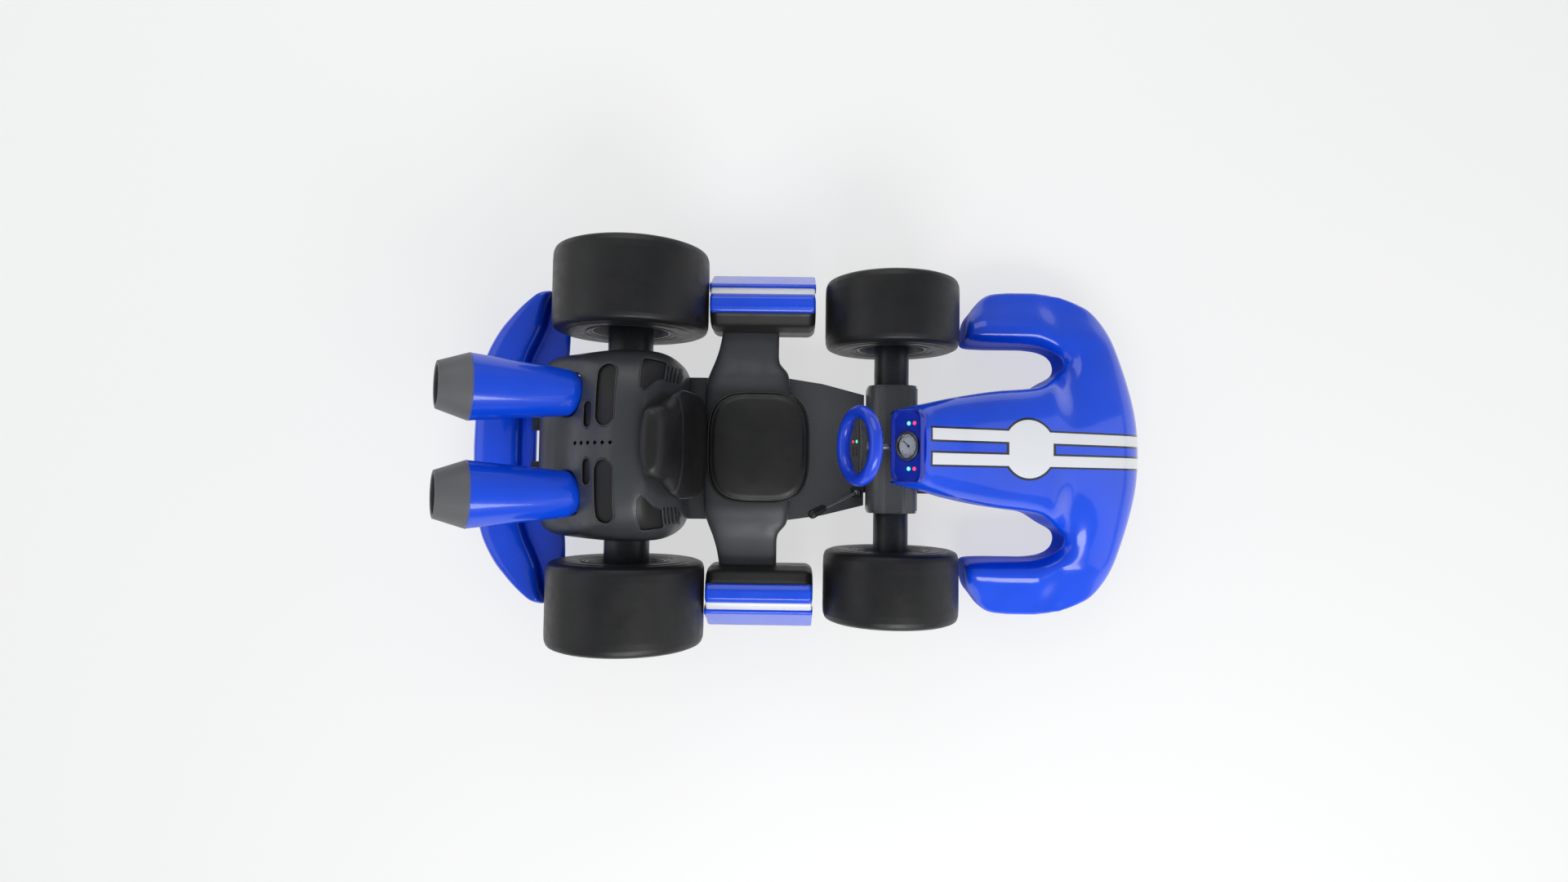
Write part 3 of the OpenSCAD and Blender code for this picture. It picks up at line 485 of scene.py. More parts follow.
def carbon(name):
    m = Mat(name)
    x, y, z = m.xyz()
    g = m.n("ShaderNodeNewGeometry")
    nrm = m.n("ShaderNodeSeparateXYZ")
    m.link(g.outputs["True Normal"], nrm.inputs[0])
    # on steep faces the weave runs along Z instead of X
    steep = m.math("GREATER_THAN", m.math("ABSOLUTE", nrm.outputs[0]), 0.72)
    side = m.math("GREATER_THAN", m.math("ABSOLUTE", nrm.outputs[1]), 0.72)
    c = 0.0028
    u = m.math("ADD", m.math("MULTIPLY", x, m.math("SUBTRACT", 1.0, steep)), m.math("MULTIPLY", z, steep))
    v = m.math("ADD", m.math("MULTIPLY", y, m.math("SUBTRACT", 1.0, side)), m.math("MULTIPLY", z, side))
    us, vs = m.math("DIVIDE", u, c), m.math("DIVIDE", v, c)
    cell = m.math("ADD", m.math("FLOOR", us), m.math("FLOOR", vs))
    warp = m.math("LESS_THAN", m.math("MODULO", m.math("ADD", cell, 4000.0), 4.0), 1.99)
    hu = m.math("SINE", m.math("MULTIPLY", m.math("FRACT", us), math.pi))
    hv = m.math("SINE", m.math("MULTIPLY", m.math("FRACT", vs), math.pi))
    h = m.math("ADD", m.math("MULTIPLY", hu, warp), m.math("MULTIPLY", hv, m.math("SUBTRACT", 1.0, warp)))
    fib = m.noise(1.0, 2, 0.5, vec=m.scaled((2500, 300, 2500)))
    base = m.mix(warp, (0.036, 0.039, 0.043), (0.118, 0.124, 0.132))
    base = m.mix(m.range(h, 0.0, 0.75, 0.75, 0.0), base, (0.02, 0.021, 0.023))
    base = m.mix(m.range(fib, 0.3, 0.7, 0, 0.3), base, (0.07, 0.073, 0.078))
    m.set(Base_Color=base, Roughness=m.range(m.noise(14, 4), 0.3, 0.7, 0.33, 0.46), Coat_Weight=0.35, Coat_Roughness=0.18)
    m.bump(h, 0.25, 0.0004)
    return m.m


def rubber(name, tread=None):
    m = Mat(name)
    k = m.range(m.noise(7, 5, 0.6), 0.3, 0.7, 0, 1)
    col = m.mix(k, (0.0058, 0.0058, 0.0062), (0.0115, 0.0115, 0.012))
    rough = m.range(m.noise(26, 5, 0.7), 0.3, 0.7, 0.36, 0.52)
    m.set(Base_Color=col, Roughness=rough, Specular_IOR_Level=0.45)
    fine = m.noise(700, 3, 0.6)
    if tread:
        # faint scuffing round the tread
        streak = m.noise(1.0, 5, 0.7, vec=m.scaled((3, 420, 3)))
        fine = m.math("ADD", m.math("MULTIPLY", streak, 0.7), m.math("MULTIPLY", fine, 0.4))
    m.bump(fine, 0.16, 0.0006)
    return m.m


def leather(name):
    m = Mat(name)
    k = m.range(m.noise(6, 4), 0.3, 0.7, 0, 1)
    col = m.mix(k, (0.0055, 0.0055, 0.006), (0.0115, 0.011, 0.0105))
    cr = m.voronoi(330, "DISTANCE_TO_EDGE")
    h = m.math("ADD", m.math("MULTIPLY", m.range(cr, 0.0, 0.12, 0, 1), 0.8), m.math("MULTIPLY", m.noise(150, 4, 0.6), 0.5))
    m.set(Base_Color=col, Roughness=m.range(m.noise(22, 5, 0.6), 0.3, 0.7, 0.36, 0.5), Specular_IOR_Level=0.5)
    m.bump(h, 0.22, 0.0005)
    return m.m


def lamp(name, base, strength):
    m = Mat(name)
    f = m.voronoi(700)
    col = m.mix(m.range(f, 0, 0.6, 0, 1), base, tuple(min(1, c * 1.3 + 0.05) for c in base))
    m.set(Base_Color=col, Roughness=m.range(m.noise(300, 2), 0.3, 0.7, 0.15, 0.3), Coat_Weight=0.6)
    m.b.inputs["Emission Color"].default_value = (*base, 1)
    m.b.inputs["Emission Strength"].default_value = strength
    m.bump(f, 0.15, 0.0003)
    return m.m


def glass(name):
    m = Mat(name)
    m.set(Base_Color=(0.95, 0.97, 1.0), Roughness=m.range(m.noise(80, 3), 0.3, 0.7, 0.02, 0.08), Transmission_Weight=1.0, ior=1.1)
    return m.m


M = {
    "paint": paint("blue_paint"),
    "hood": paint("blue_paint_striped", stripes=True),
    "dash": paint("blue_dash", base=(0.006, 0.032, 0.5), rough=0.34),
    "rim_blue": paint("blue_grip", base=(0.01, 0.07, 0.84), rough=0.36),
    "white": plastic("white_trim", (0.82, 0.835, 0.86), 0.3, 700, 0.05, coat=0.4, var=0.03),
    "grey": plastic("grey_cover", (0.046, 0.050, 0.054), 0.38, 1100, 0.16),
    "hub": plastic("hub_grey", (0.075, 0.078, 0.08), 0.45, 1200, 0.15),
    "beam": plastic("beam_grey", (0.050, 0.055, 0.061), 0.42, 1100, 0.14),
    "black": plastic("black_moulding", (0.013, 0.0125, 0.012), 0.4, 1000, 0.15, var=0.2),
    "vent": plastic("vent_black", (0.0055, 0.005, 0.0045), 0.5, 1300, 0.2, var=0.2),
    "frame": plastic("powder_coat", (0.016, 0.018, 0.022), 0.36, 1500, 0.12, var=0.15),
    "carbon": carbon("carbon_twill"),
    "zinc": metal("zinc_plate", (0.55, 0.55, 0.56), 0.34),
    "steel": metal("satin_steel", (0.42, 0.43, 0.44), 0.38, brushed=(900, 40, 900)),
    "alloy": metal("cast_alloy", (0.2, 0.2, 0.205), 0.46),
    "chain": metal("chain_steel", (0.16, 0.155, 0.15), 0.42),
    "tip": plastic("tip_grey", (0.125, 0.128, 0.132), 0.5, 1400, 0.2, var=0.1),
    "caliper": paint("caliper_red", base=(0.5, 0.02, 0.015), rough=0.3),
    "tank": plastic("tank_natural", (0.56, 0.56, 0.52), 0.4, 900, 0.08, var=0.04),
    "tyre": rubber("tyre_rubber", tread=True),
    "grip": rubber("grip_rubber"),
    "seat": leather("seat_vinyl"),
    # the green push button takes an emissive lamp material; its glow is painted light
    "green": lamp("button_glow_green", (0.12, 0.95, 0.45), 1.1),
    "cyan": lamp("lamp_cyan", (0.14, 0.95, 0.55), 1.0),
    "red": lamp("lamp_and_button_glow_red", (0.95, 0.05, 0.16), 0.75),
    "glass": glass("instrument_glass"),
    "bezel": metal("bezel_grey", (0.13, 0.135, 0.14), 0.4),
    "dial": metal("dial_face", (0.86, 0.88, 0.9), 0.55, metallic=0.1),
    "needle": plastic("needle_black", (0.012, 0.012, 0.012), 0.5, 1500, 0.1),
}


def done(o, body, slot, *repl):
    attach(o, body)
    if repl:
        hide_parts(*repl)
    return o


# ------------------------------------------------------------------ nose fairing
T = dict(
    hood_half=pchip([[262, 112], [300, 124], [391, 146], [501, 172], [650, 200], [765, 214], [805, 221], [829, 230], [855, 246], [880, 262], [905, 275], [925, 287], [935, 298], [940, 316]]),
    ridge=pchip([[262, 655], [361, 648], [401, 622], [590, 545], [740, 480], [895, 412], [1050, 338], [1130, 296], [1180, 255], [1205, 220], [1218, 190], [1222, 172]]),
    hood_edge=pchip([[262, 520], [411, 500], [590, 425], [740, 360], [895, 300]]),
    nose_half=pchip([[895, 597], [950, 588], [1022, 561], [1059, 540], [1095, 502], [1131, 444], [1167, 346], [1190, 255], [1205, 180], [1216, 100], [1222, 30]]),
    horn_in=pchip([[583, 404], [592, 396], [620, 391], [690, 388], [805, 388], [845, 385], [875, 380], [893, 374], [910, 366], [924, 354], [934, 340], [940, 316]]),
    horn_out=pchip([[583, 440], [592, 490], [619, 530], [655, 575], [692, 594], [760, 600], [850, 600], [895, 597], [940, 590]]),
)


def deck(x, y):
    return lerp(252, 165, sm((abs(y) - 400) / 200)) * (1 if x < 1000 else lerp(1, 0.74, sm((x - 1000) / 222)))


def front_top(x, y):
    r = T["ridge"](x)
    b = min(deck(x, y), r)
    return b + (r - b) * math.exp(-(abs(y) / lerp(240, 300, sm((x - 895) / 300))) ** 2.6)


def notch_gap(x, u):
    """distance outside the notch between hood and horn"""
    a, b = T["hood_half"](min(x, 940)), T["horn_in"](min(x, 940))
    if x < 880:
        return abs(u - (a + b) / 2) - (b - a) / 2
    return 58 * (math.hypot((x - 880) / 60, (u - 320) / 58) - 1)


def front_z(x, y):
    w = T["nose_half"](x)
    e = max(0.0, notch_gap(x, abs(y)))
    roll = 36 * max(0.0, 1 - e / 52) ** 2
    return 130 + (front_top(x, y) - 130) * max(0.0, 1 - min(1.0, abs(y) / w) ** 2.8) ** 0.42 - roll


def build_nose():
    low = 60
    hood = []
    for x in np.concatenate([np.arange(270, 870, 10), np.arange(870, 930, 6), [930, 934, 938, 940, 948, 956]]):
        w, zt = T["hood_half"](min(x, 940)), T["ridge"](x)
        ze = min(T["hood_edge"](min(x, 895)), zt - 30)
        t = sm((x - 825) / 115)
        zs = lerp(ze, front_z(x, w), t)
        ring = [(x, w, low), (x, w, lerp(low, zs, 0.5))]
        for i in range(61):
            a = math.pi * i / 60
            y = w * spow(math.cos(a), 2 / 2.7)
            ring.append((x, y, lerp(ze + (zt - ze) * abs(math.sin(a)) ** (2 / 2.4), front_z(x, y), t)))
        ring += [(x, -w, lerp(low, zs, 0.5)), (x, -w, low)]
        hood.append(ring)
    front = []
    for x in np.concatenate([np.arange(940, 1150, 8), np.arange(1150, 1206, 5), np.arange(1206, 1222.1, 2)]):
        w = T["nose_half"](x)
        ring = [(x, w * 0.97, low)]
        for i in range(81):
            a = math.pi * i / 80
            y = w * spow(math.cos(a), 0.9)
            ring.append((x, y, front_z(x, y)))
        ring.append((x, -w * 0.97, low))
        front.append(ring)
    parts = [loft(hood), loft(front)]
    for s in (1, -1):
        horn = []
        for x in np.concatenate([[583, 585, 588], np.arange(592, 870, 8), np.arange(870, 930, 6), [930, 934, 938, 940, 948, 956]]):
            xx = min(x, 940)
            y0, y1 = T["horn_in"](xx), T["horn_out"](xx)
            yc, h = (y0 + y1) / 2, (y1 - y0) / 2
            k = min(1, (y1 - y0) / 190)
            t = sm((x - 835) / 105)
            ring = [(x, s * (yc + h * 0.96), low)]
            for i in range(41):
                a = math.pi * i / 40
                y = yc + h * spow(math.cos(a), 2 / 2.2)
                q = abs(math.sin(a)) ** (2 / 2.4)
                z = lerp(140 + (lerp(190, deck(xx, y), sm(k)) + 6 - 140) * q, front_z(x, y), t)
                ring.append((x, s * y, z))
            ring.append((x, s * (yc - h * 0.96), low))
            horn.append(ring if s > 0 else ring[::-1])
        parts.append(loft(horn))
    v, f = join_data(parts)
    o = obj("nose_shell", v, f, M["hood"])
    fix_normals(o)
    voxel(o, 0.0055, 14)
    # open underside, with the arch over the front axle and the rear cut along the dash
    cut(o, (0, 0, 84), (0, 0, -1))
    lowline = [(262, 430), (400, 400), (470, 250), (560, 176), (640, 120), (895, 80)]
    near = lambda c: abs(c.y) < 330 and c.x < 890
    for (xa, za), (xb, zb) in zip(lowline[:-1], lowline[1:]):
        d = Vector((xb - xa, 0, zb - za)).normalized()
        cut(o, (xa, 0, za), (d.z, 0, -d.x), clear=False, where=near)
    lx, lz = [p[0] for p in lowline], [p[1] for p in lowline]
    drop(o, lambda c: abs(c.y) < 330 and c.x < 890 and c.z < float(np.interp(c.x, lx, lz)))
    cut(o, (282, 0, 0), (-1, 0, 0))
    a = math.radians(47.4)
    n = Vector((-math.sin(a), 0, math.cos(a)))
    cut(o, Vector((270, 0, 545)) + n * -6, n, where=lambda c: c.x < 430 and abs(c.y) < 200)
    o = solid(o, 7)
    shade(o, True, 40)
    return done(o, "chassis", "blue_body", "nose_fairing")


build_nose()

# ------------------------------------------------------------------ engine cover
cover_half = pchip([[-956, 262], [-948, 288], [-925, 308], [-880, 322], [-750, 333], [-640, 337], [-560, 334], [-520, 331], [-490, 323], [-458, 303], [-440, 283], [-428, 258]])
cover_z = pchip([[-956, 262], [-948, 300], [-925, 345], [-870, 400], [-800, 452], [-750, 505], [-700, 548], [-660, 574], [-620, 588], [-560, 590], [-535, 584], [-500, 545], [-470, 500], [-445, 452], [-434, 420], [-428, 385]])


def stadium(x0, x1, y0, y1, g=0, n=24):
    r = (x1 - x0) / 2 + g
    xc = (x0 + x1) / 2
    a, b = y0 + (x1 - x0) / 2, y1 - (x1 - x0) / 2
    pts = [(xc + r * math.cos(t), b + r * math.sin(t)) for t in np.linspace(0, math.pi, n)]
    pts += [(xc + r * math.cos(t), a + r * math.sin(t)) for t in np.linspace(math.pi, 2 * math.pi, n)]
    return pts


INTAKE = [(-545, 287, 10), (-477, 280, 8), (-476, 216, 7), (-500, 204, 14), (-521, 176, 10), (-531, 170, 6), (-543, 180, 8)]


def outlines():
    outs = []
    for s in (1, -1):
        outs.append([(x, s * y) for x, y in stadium(-690, -621, 53, 263)])
        outs.append([(x, s * y) for x, y in stadium(-737, -702, 50, 139)])
        outs.append([(x, s * y) for x, y in fillet(INTAKE)])
        for xc in (-471, -461.5, -452, -442.5):
            outs.append([(x, s * y) for x, y in stadium(xc - 2.9, xc + 2.9, 208, 266, n=8)])
    for i in range(6):
        outs.append([(-771 + i * 28 + 7.5 * math.cos(t), 7.5 * math.sin(t)) for t in np.linspace(0, 2 * math.pi, 25)[:-1]])
    return outs


def cover_ring(x, o, zb, n):
    xx = min(max(x, -956), -428)
    w, zt = cover_half(xx) - o, cover_z(xx) - o
    return [(lerp(-956 + o, -428 - o, (x + 956) / 528), w * spow(math.cos(math.pi * i / n), 2 / 3.6), zb + (zt - zb) * abs(math.sin(math.pi * i / n)) ** (2 / 3.6)) for i in range(n + 1)]


def cover_top(x, y):
    """height of the cover above a point"""
    w, zt = cover_half(x), cover_z(x)
    return 196 + (zt - 196) * max(0, 1 - (abs(y) / w) ** 3.6) ** (1 / 3.6)


def boolean(o, other, op="DIFFERENCE"):
    m = o.modifiers.new("b", "BOOLEAN")
    m.operation = op
    m.object = other
    m.solver = "EXACT"
    m.use_self = False
    bake_mods(o)
    bpy.data.objects.remove(other)


def prism(pts, z0, z1):
    n = len(pts)
    v = [(x, y, z0) for x, y in pts] + [(x, y, z1) for x, y in pts]
    f = [(i, (i + 1) % n, n + (i + 1) % n, n + i) for i in range(n)] + [tuple(reversed(range(n))), tuple(range(n, 2 * n))]
    area = sum(pts[i][0] * pts[(i + 1) % n][1] - pts[(i + 1) % n][0] * pts[i][1] for i in range(n))
    if area < 0:
        f = [tuple(reversed(q)) for q in f]
    return v, f


def exh_frame(s):
    t = math.radians(30)
    return frame_mat((-770, s * 171, 429), (math.sin(t), 0, math.cos(t)), (-math.cos(t), 0, math.sin(t)))


def cone_solid(g, s):
    prof = [(0, -2), (46 + g, 0 - g), (58 + g, 8), (70 + g, 22), (78 + g, 44), (108.5 + g, 362), (0, 362)]
    v, f = lathe_data(prof, 64, closed=False)
    return place(v, exh_frame(s)), f


def build_cover():
    xs = np.concatenate([[-956, -953, -948, -940], np.arange(-930, -440, 8), [-440, -436, -432, -428]])
    v, f = loft([cover_ring(x, 0, 196, 90) for x in xs])
    o = obj("engine_cover_shell", v, f, M["grey"])
    fix_normals(o)
    # hollow the shell with a smaller inner loft, 9 mm in from the outside
    v, f = loft([cover_ring(x, 9, 150, 60) for x in xs[::2]])
    inner = obj("tmp_inner", v, f, None)
    fix_normals(inner)
    boolean(o, inner)
    small = lambda p: max(q[0] for q in p) - min(q[0] for q in p) < 16
    v, f = join_data([prism(p, 380, 700) for p in outlines() if not small(p)])
    c = obj("tmp_cut", v, f, None)
    boolean(o, c)
    for s in (1, -1):
        v, f = cone_solid(3.5, s)
        c = obj("tmp_cone", v, f, None)
        bm = bmesh.new(); bm.from_mesh(c.data)
        bmesh.ops.remove_doubles(bm, verts=bm.verts, dist=1e-6)
        bmesh.ops.recalc_face_normals(bm, faces=bm.faces)
        bm.to_mesh(c.data); bm.free()
        boolean(o, c)
    parts = []
    n = 48
    arch = [(-633 + 82 * math.cos(t), 277 + 82 * math.sin(t)) for t in np.linspace(0, math.pi, n)]
    ring = lambda y: [(x, y, z) for x, z in arch] + [(-715, y, 150), (-551, y, 150)]
    v, f = loft([ring(-400), ring(400)])
    c = obj("tmp_arch", v, f, None)
    fix_normals(c)
    boolean(o, c)
    voxel(o, 0.0036, 5)
    v, f = join_data([prism(p, 350, 700) for p in outlines() if small(p)])
    c = obj("tmp_cut", v, f, None)
    boolean(o, c)
    o.data.materials.clear()
    o.data.materials.append(M["grey"])
    shade(o)
    return done(o, "chassis", "grey_plastic", "engine_cover")


build_cover()


def build_grilles():
    """dark inserts behind every opening, and raised lips round the openings"""
    parts, lips = [], []
    for k, pts in enumerate(outlines()):
        p = resample([(x, y) for x, y in pts], max(24, min(120, int(sum(math.dist(pts[i], pts[i - 1]) for i in range(len(pts))) / 5))))
        c = p.mean(0)
        drop_z = 9.5
        rings = []
        for g in (6.0, 0.0, -4.0):
            r = []
            for q in p:
                d = q - c
                L = np.linalg.norm(d)
                q2 = c + d * (L + g) / L if L + g > 0 else c
                r.append((q2[0], q2[1], cover_top(q2[0], q2[1]) - drop_z))
            rings.append(r)
        # fan of shrinking rings down to the middle
        for t in (0.75, 0.5, 0.25, 0.08):
            r = []
            for q in p:
                q2 = c + (q - c) * t
                r.append((q2[0], q2[1], cover_top(q2[0], q2[1]) - drop_z))
            rings.append(r)
        top, f1 = loft(rings, cap=False)
        f1 = f1 + [tuple(range((len(rings) - 1) * len(p), len(rings) * len(p)))]
        parts.append((top, f1))
        if len(pts) > 20:
            lips.append(tube([(q[0], q[1], cover_top(q[0], q[1]) - 0.6) for q in p], 1.7 if len(pts) > 26 else 1.2, 8, closed=True))
    v, f = join_data(parts)
    o = obj("vent_inserts", v, f, M["vent"])
    fix_normals(o)
    o = solid(o, 2.5)
    shade(o, True, 40)
    done(o, "chassis", "black_plastic", "vent_grilles")
    v, f = join_data(lips)
    o = obj("vent_lips", v, f, M["grey"])
    done(o, "chassis", "grey_plastic")


build_grilles()

# ------------------------------------------------------------------ exhausts
def turned(name, prof, mats, body, slot, repl=(), n=160, mat=None, sharp=40):
    parts = []
    for m in mats:
        v, f = lathe_data(prof, n)
        parts.append((place(v, m), f))
    v, f = join_data(parts)
    o = obj(name, v, f, mat)
    fix_normals(o)
    shade(o, True, sharp)
    return done(o, body, slot, *repl)


EX = [exh_frame(1), exh_frame(-1)]
cone_prof = fillet([(17, 2, 2), (17, -1, 2), (40, -1, 10), (60, 8, 22), (78, 40, 40), (108.5, 358, 2.5), (108.5, 362, 1), (104, 362, 1), (104, 350, 1), (74, 46, 20), (40, 8, 10)], 8)
turned("exhaust_cone_shells", cone_prof, EX, "chassis", "blue_body", ("exhaust_cones",), mat=M["paint"])
tip_prof = fillet([(104.5, 356, 1), (107.5, 356, 1), (107.5, 364, 2.5), (75.5, 455, 3), (66, 456, 3), (64, 452, 3), (100, 362, 4)], 6)
turned("exhaust_tip_rings", tip_prof, EX, "chassis", "tip_metal", ("exhaust_tips",), mat=M["tip"])
# a plain core tube inside each silencer
core = fillet([(50, 60, 3), (53, 60, 3), (60, 420, 3), (57, 420, 3)], 3)
turned("exhaust_cores", core, EX, "chassis", "steel", (), mat=M["vent"])
seam = fillet([(107.8, 357, 1), (110, 359.5, 1.5), (107.8, 362, 1)], 4)
turned("exhaust_clamp_beads", seam, EX, "chassis", "tip_metal", (), mat=M["tip"])

# ------------------------------------------------------------------ rear bumper
bump_out = pchip([[0, -1222], [150, -1218], [250, -1204], [330, -1184], [372, -1166], [433, -1130], [475, -1095], [512, -1060], [543, -1024], [570, -985], [578, -962]])
bump_mid = pchip([[0, -1059], [230, -1056], [330, -1030], [400, -998], [448, -979], [520, -965], [560, -950], [578, -945]])
bump_in = pchip([[0, -1010], [110, -1010], [180, -992], [260, -935], [330, -895], [420, -891], [480, -900], [540, -925], [565, -942]])


def build_bumper():
    ys = np.concatenate([[-578, -577, -575, -572], np.arange(-568, 569, 8), [572, 575, 577, 578]])
    rings, ledge = [], []
    for y in ys:
        t = abs(y)
        k = math.sqrt(max(0.03, 1 - ((t - 552) / 26.6) ** 2)) if t > 552 else 1
        x0, x1 = bump_out(t), bump_mid(t)
        rings.append([((x0 + x1) / 2 + (x1 - x0) / 2 * spow(math.cos(a), 0.62), y, 172 + 58 * k * spow(math.sin(a), 0.62)) for a in np.linspace(0, 2 * math.pi, 49)[:-1]])
    for y in np.arange(-560, 561, 8):
        t = abs(y)
        x0, x1 = bump_mid(t) - 24, max(bump_in(t), bump_mid(t) + 2)
        ledge.append([((x0 + x1) / 2 + (x1 - x0) / 2 * spow(math.cos(a), 0.4), y, 131 + 14 * spow(math.sin(a), 0.4)) for a in np.linspace(0, 2 * math.pi, 33)[:-1]])
    v, f = join_data([loft(rings), loft(ledge)])
    o = obj("bumper_shell", v, f, M["paint"])
    fix_normals(o)
    voxel(o, 0.005, 8)
    shade(o)
    done(o, "chassis", "blue_body", "rear_bumper")


build_bumper()

# ------------------------------------------------------------------ saddle beam and side pods
beam_rear = pchip([[0, -368], [230, -364], [270, -352], [322, -332], [370, -318], [421, -309]])
beam_front = pchip([[0, -52], [230, -58], [270, -66], [316, -98], [340, -101], [421, -101]])
beam_top = pchip([[0, 270], [200, 270], [260, 258], [330, 238], [421, 226]])
beam_low = pchip([[0, 172], [262, 172], [275, 174], [330, 182], [421, 186]])


def build_beam():
    rings = []
    for y in np.arange(-424, 424.1, 8):
        t = abs(y)
        x0, x1, z0, z1 = beam_rear(t), beam_front(t), beam_low(t), beam_top(t)
        rings.append([((x0 + x1) / 2 + (x1 - x0) / 2 * spow(math.cos(a), 0.5), y, (z0 + z1) / 2 + (z1 - z0) / 2 * spow(math.sin(a), 0.5)) for a in np.linspace(0, 2 * math.pi, 97)[:-1]])
    v, f = loft(rings)
    o = obj("beam_shell", v, f, M["beam"])
    fix_normals(o)
    shade(o, True, 50)
    done(o, "chassis", "grey_plastic", "saddle_beam")


build_beam()


def pod_piece(name, poly, x0, x1, mat, slot, repl=(), r=24, n=90):
    base = resample(fillet(poly, 8), n)
    c = base.mean(0)
    L = x1 - x0
    st = []
    for i in range(9):
        a = math.pi / 2 * i / 8
        st.append((r * (1 - math.cos(a)), r * (1 - math.sin(a))))
    left = [(x0 + d, g) for d, g in st]
    xs = left + [(x0 + r + (L - 2 * r) * k / 12, 0) for k in range(1, 12)] + [(x1 - d, g) for d, g in reversed(st)]
    parts = []
    for s in (1, -1):
        rings = []
        for x, g in xs:
            ring = []
            for p in base:
                d = p - c
                q = c + d * max(0.05, 1 - g / max(np.linalg.norm(d), g + 1))
                ring.append((x, s * q[0], q[1]))
            rings.append(ring)
        parts.append(loft(rings))
    v, f = join_data(parts)
    o = obj(name, v, f, mat)
    fix_normals(o)
    shade(o, True, 55)
    return done(o, "chassis", slot, *repl)


pod_piece("pod_shells", [(421, 140, 14), (421, 240, 18), (436, 284, 30), (476, 320, 16), (536, 308, 8), (562, 268, 6), (628, 112, 8), (560, 104, 12), (450, 108, 22)], -350, 30, M["black"], "black_plastic", ("pod_bodies",), r=30)
pod_piece("pod_ridges", [(476, 312, 4), (480, 328, 8), (500, 338, 14), (530, 334, 10), (545, 321, 4), (534, 300, 4)], -347, 27, M["paint"], "blue_body", ("pod_panels",), r=12, n=48)
pod_piece("pod_skirts", [(556, 274, 4), (622, 116, 4), (640, 106, 8), (655, 112, 8), (656, 128, 8), (586, 294, 6), (572, 296, 3)], -353, 30, M["paint"], "blue_body", (), r=9, n=48)
pod_piece("pod_trims", [(534, 306, 2), (543, 321.5, 3), (558, 316, 8), (573, 293, 3), (560, 268, 3)], -346, 26, M["white"], "white_trim", ("pod_stripes",), r=7, n=40)

# ------------------------------------------------------------------ seat and backrest
def cloth(o, pinned, pressure=4.0, cap=10, frames=20):
    """swell a closed mesh a little under its own pressure, then make the result the mesh"""
    me = o.data
    start = np.empty(len(me.vertices) * 3)
    me.vertices.foreach_get("co", start)
    start = start.reshape(-1, 3)
    vg = o.vertex_groups.new(name="pin")
    vg.add([i for i, p in enumerate(start * 1000) if pinned(p)], 1.0, "REPLACE")
    c = o.modifiers.new("cloth", "CLOTH")
    s = c.settings
    s.quality = 6
    s.mass = 0.3
    s.tension_stiffness = 18
    s.compression_stiffness = 18
    s.shear_stiffness = 8
    s.bending_stiffness = 1.2
    s.use_pressure = True
    s.uniform_pressure_force = pressure
    s.vertex_group_mass = "pin"
    s.effector_weights.gravity = 0
    c.point_cache.frame_start = 1
    c.point_cache.frame_end = frames
    for fr in range(1, frames + 1):
        scene.frame_set(fr)
    dg = bpy.context.evaluated_depsgraph_get()
    ev = o.evaluated_get(dg).to_mesh()
    end = np.empty(len(ev.vertices) * 3)
    ev.vertices.foreach_get("co", end)
    end = end.reshape(-1, 3)
    o.modifiers.clear()
    o.vertex_groups.clear()
    d = end - start
    L = np.linalg.norm(d, axis=1, keepdims=True)
    d *= cap * 0.001 / (cap * 0.001 + L)
    # ease the swell over the neighbours, so that it has no creases of its own
    ed = np.empty(len(me.edges) * 2, dtype=np.int64)
    me.edges.foreach_get("vertices", ed)
    ed = ed.reshape(-1, 2)
    num = np.zeros(len(d))
    np.add.at(num, ed[:, 0], 1)
    np.add.at(num, ed[:, 1], 1)
    held = np.array([bool(pinned(p)) for p in start * 1000])
    for _ in range(40):
        acc = np.zeros_like(d)
        np.add.at(acc, ed[:, 0], d[ed[:, 1]])
        np.add.at(acc, ed[:, 1], d[ed[:, 0]])
        d = acc / np.maximum(num, 1)[:, None]
        d[held] = 0
    me.vertices.foreach_set("co", (start + d).ravel())
    me.update()
    scene.frame_set(1)


def squircle(hx, hy, p, n):
    return [(hx * spow(math.cos(t), 2 / p), hy * spow(math.sin(t), 2 / p)) for t in np.linspace(0, 2 * math.pi, n + 1)[:-1]]


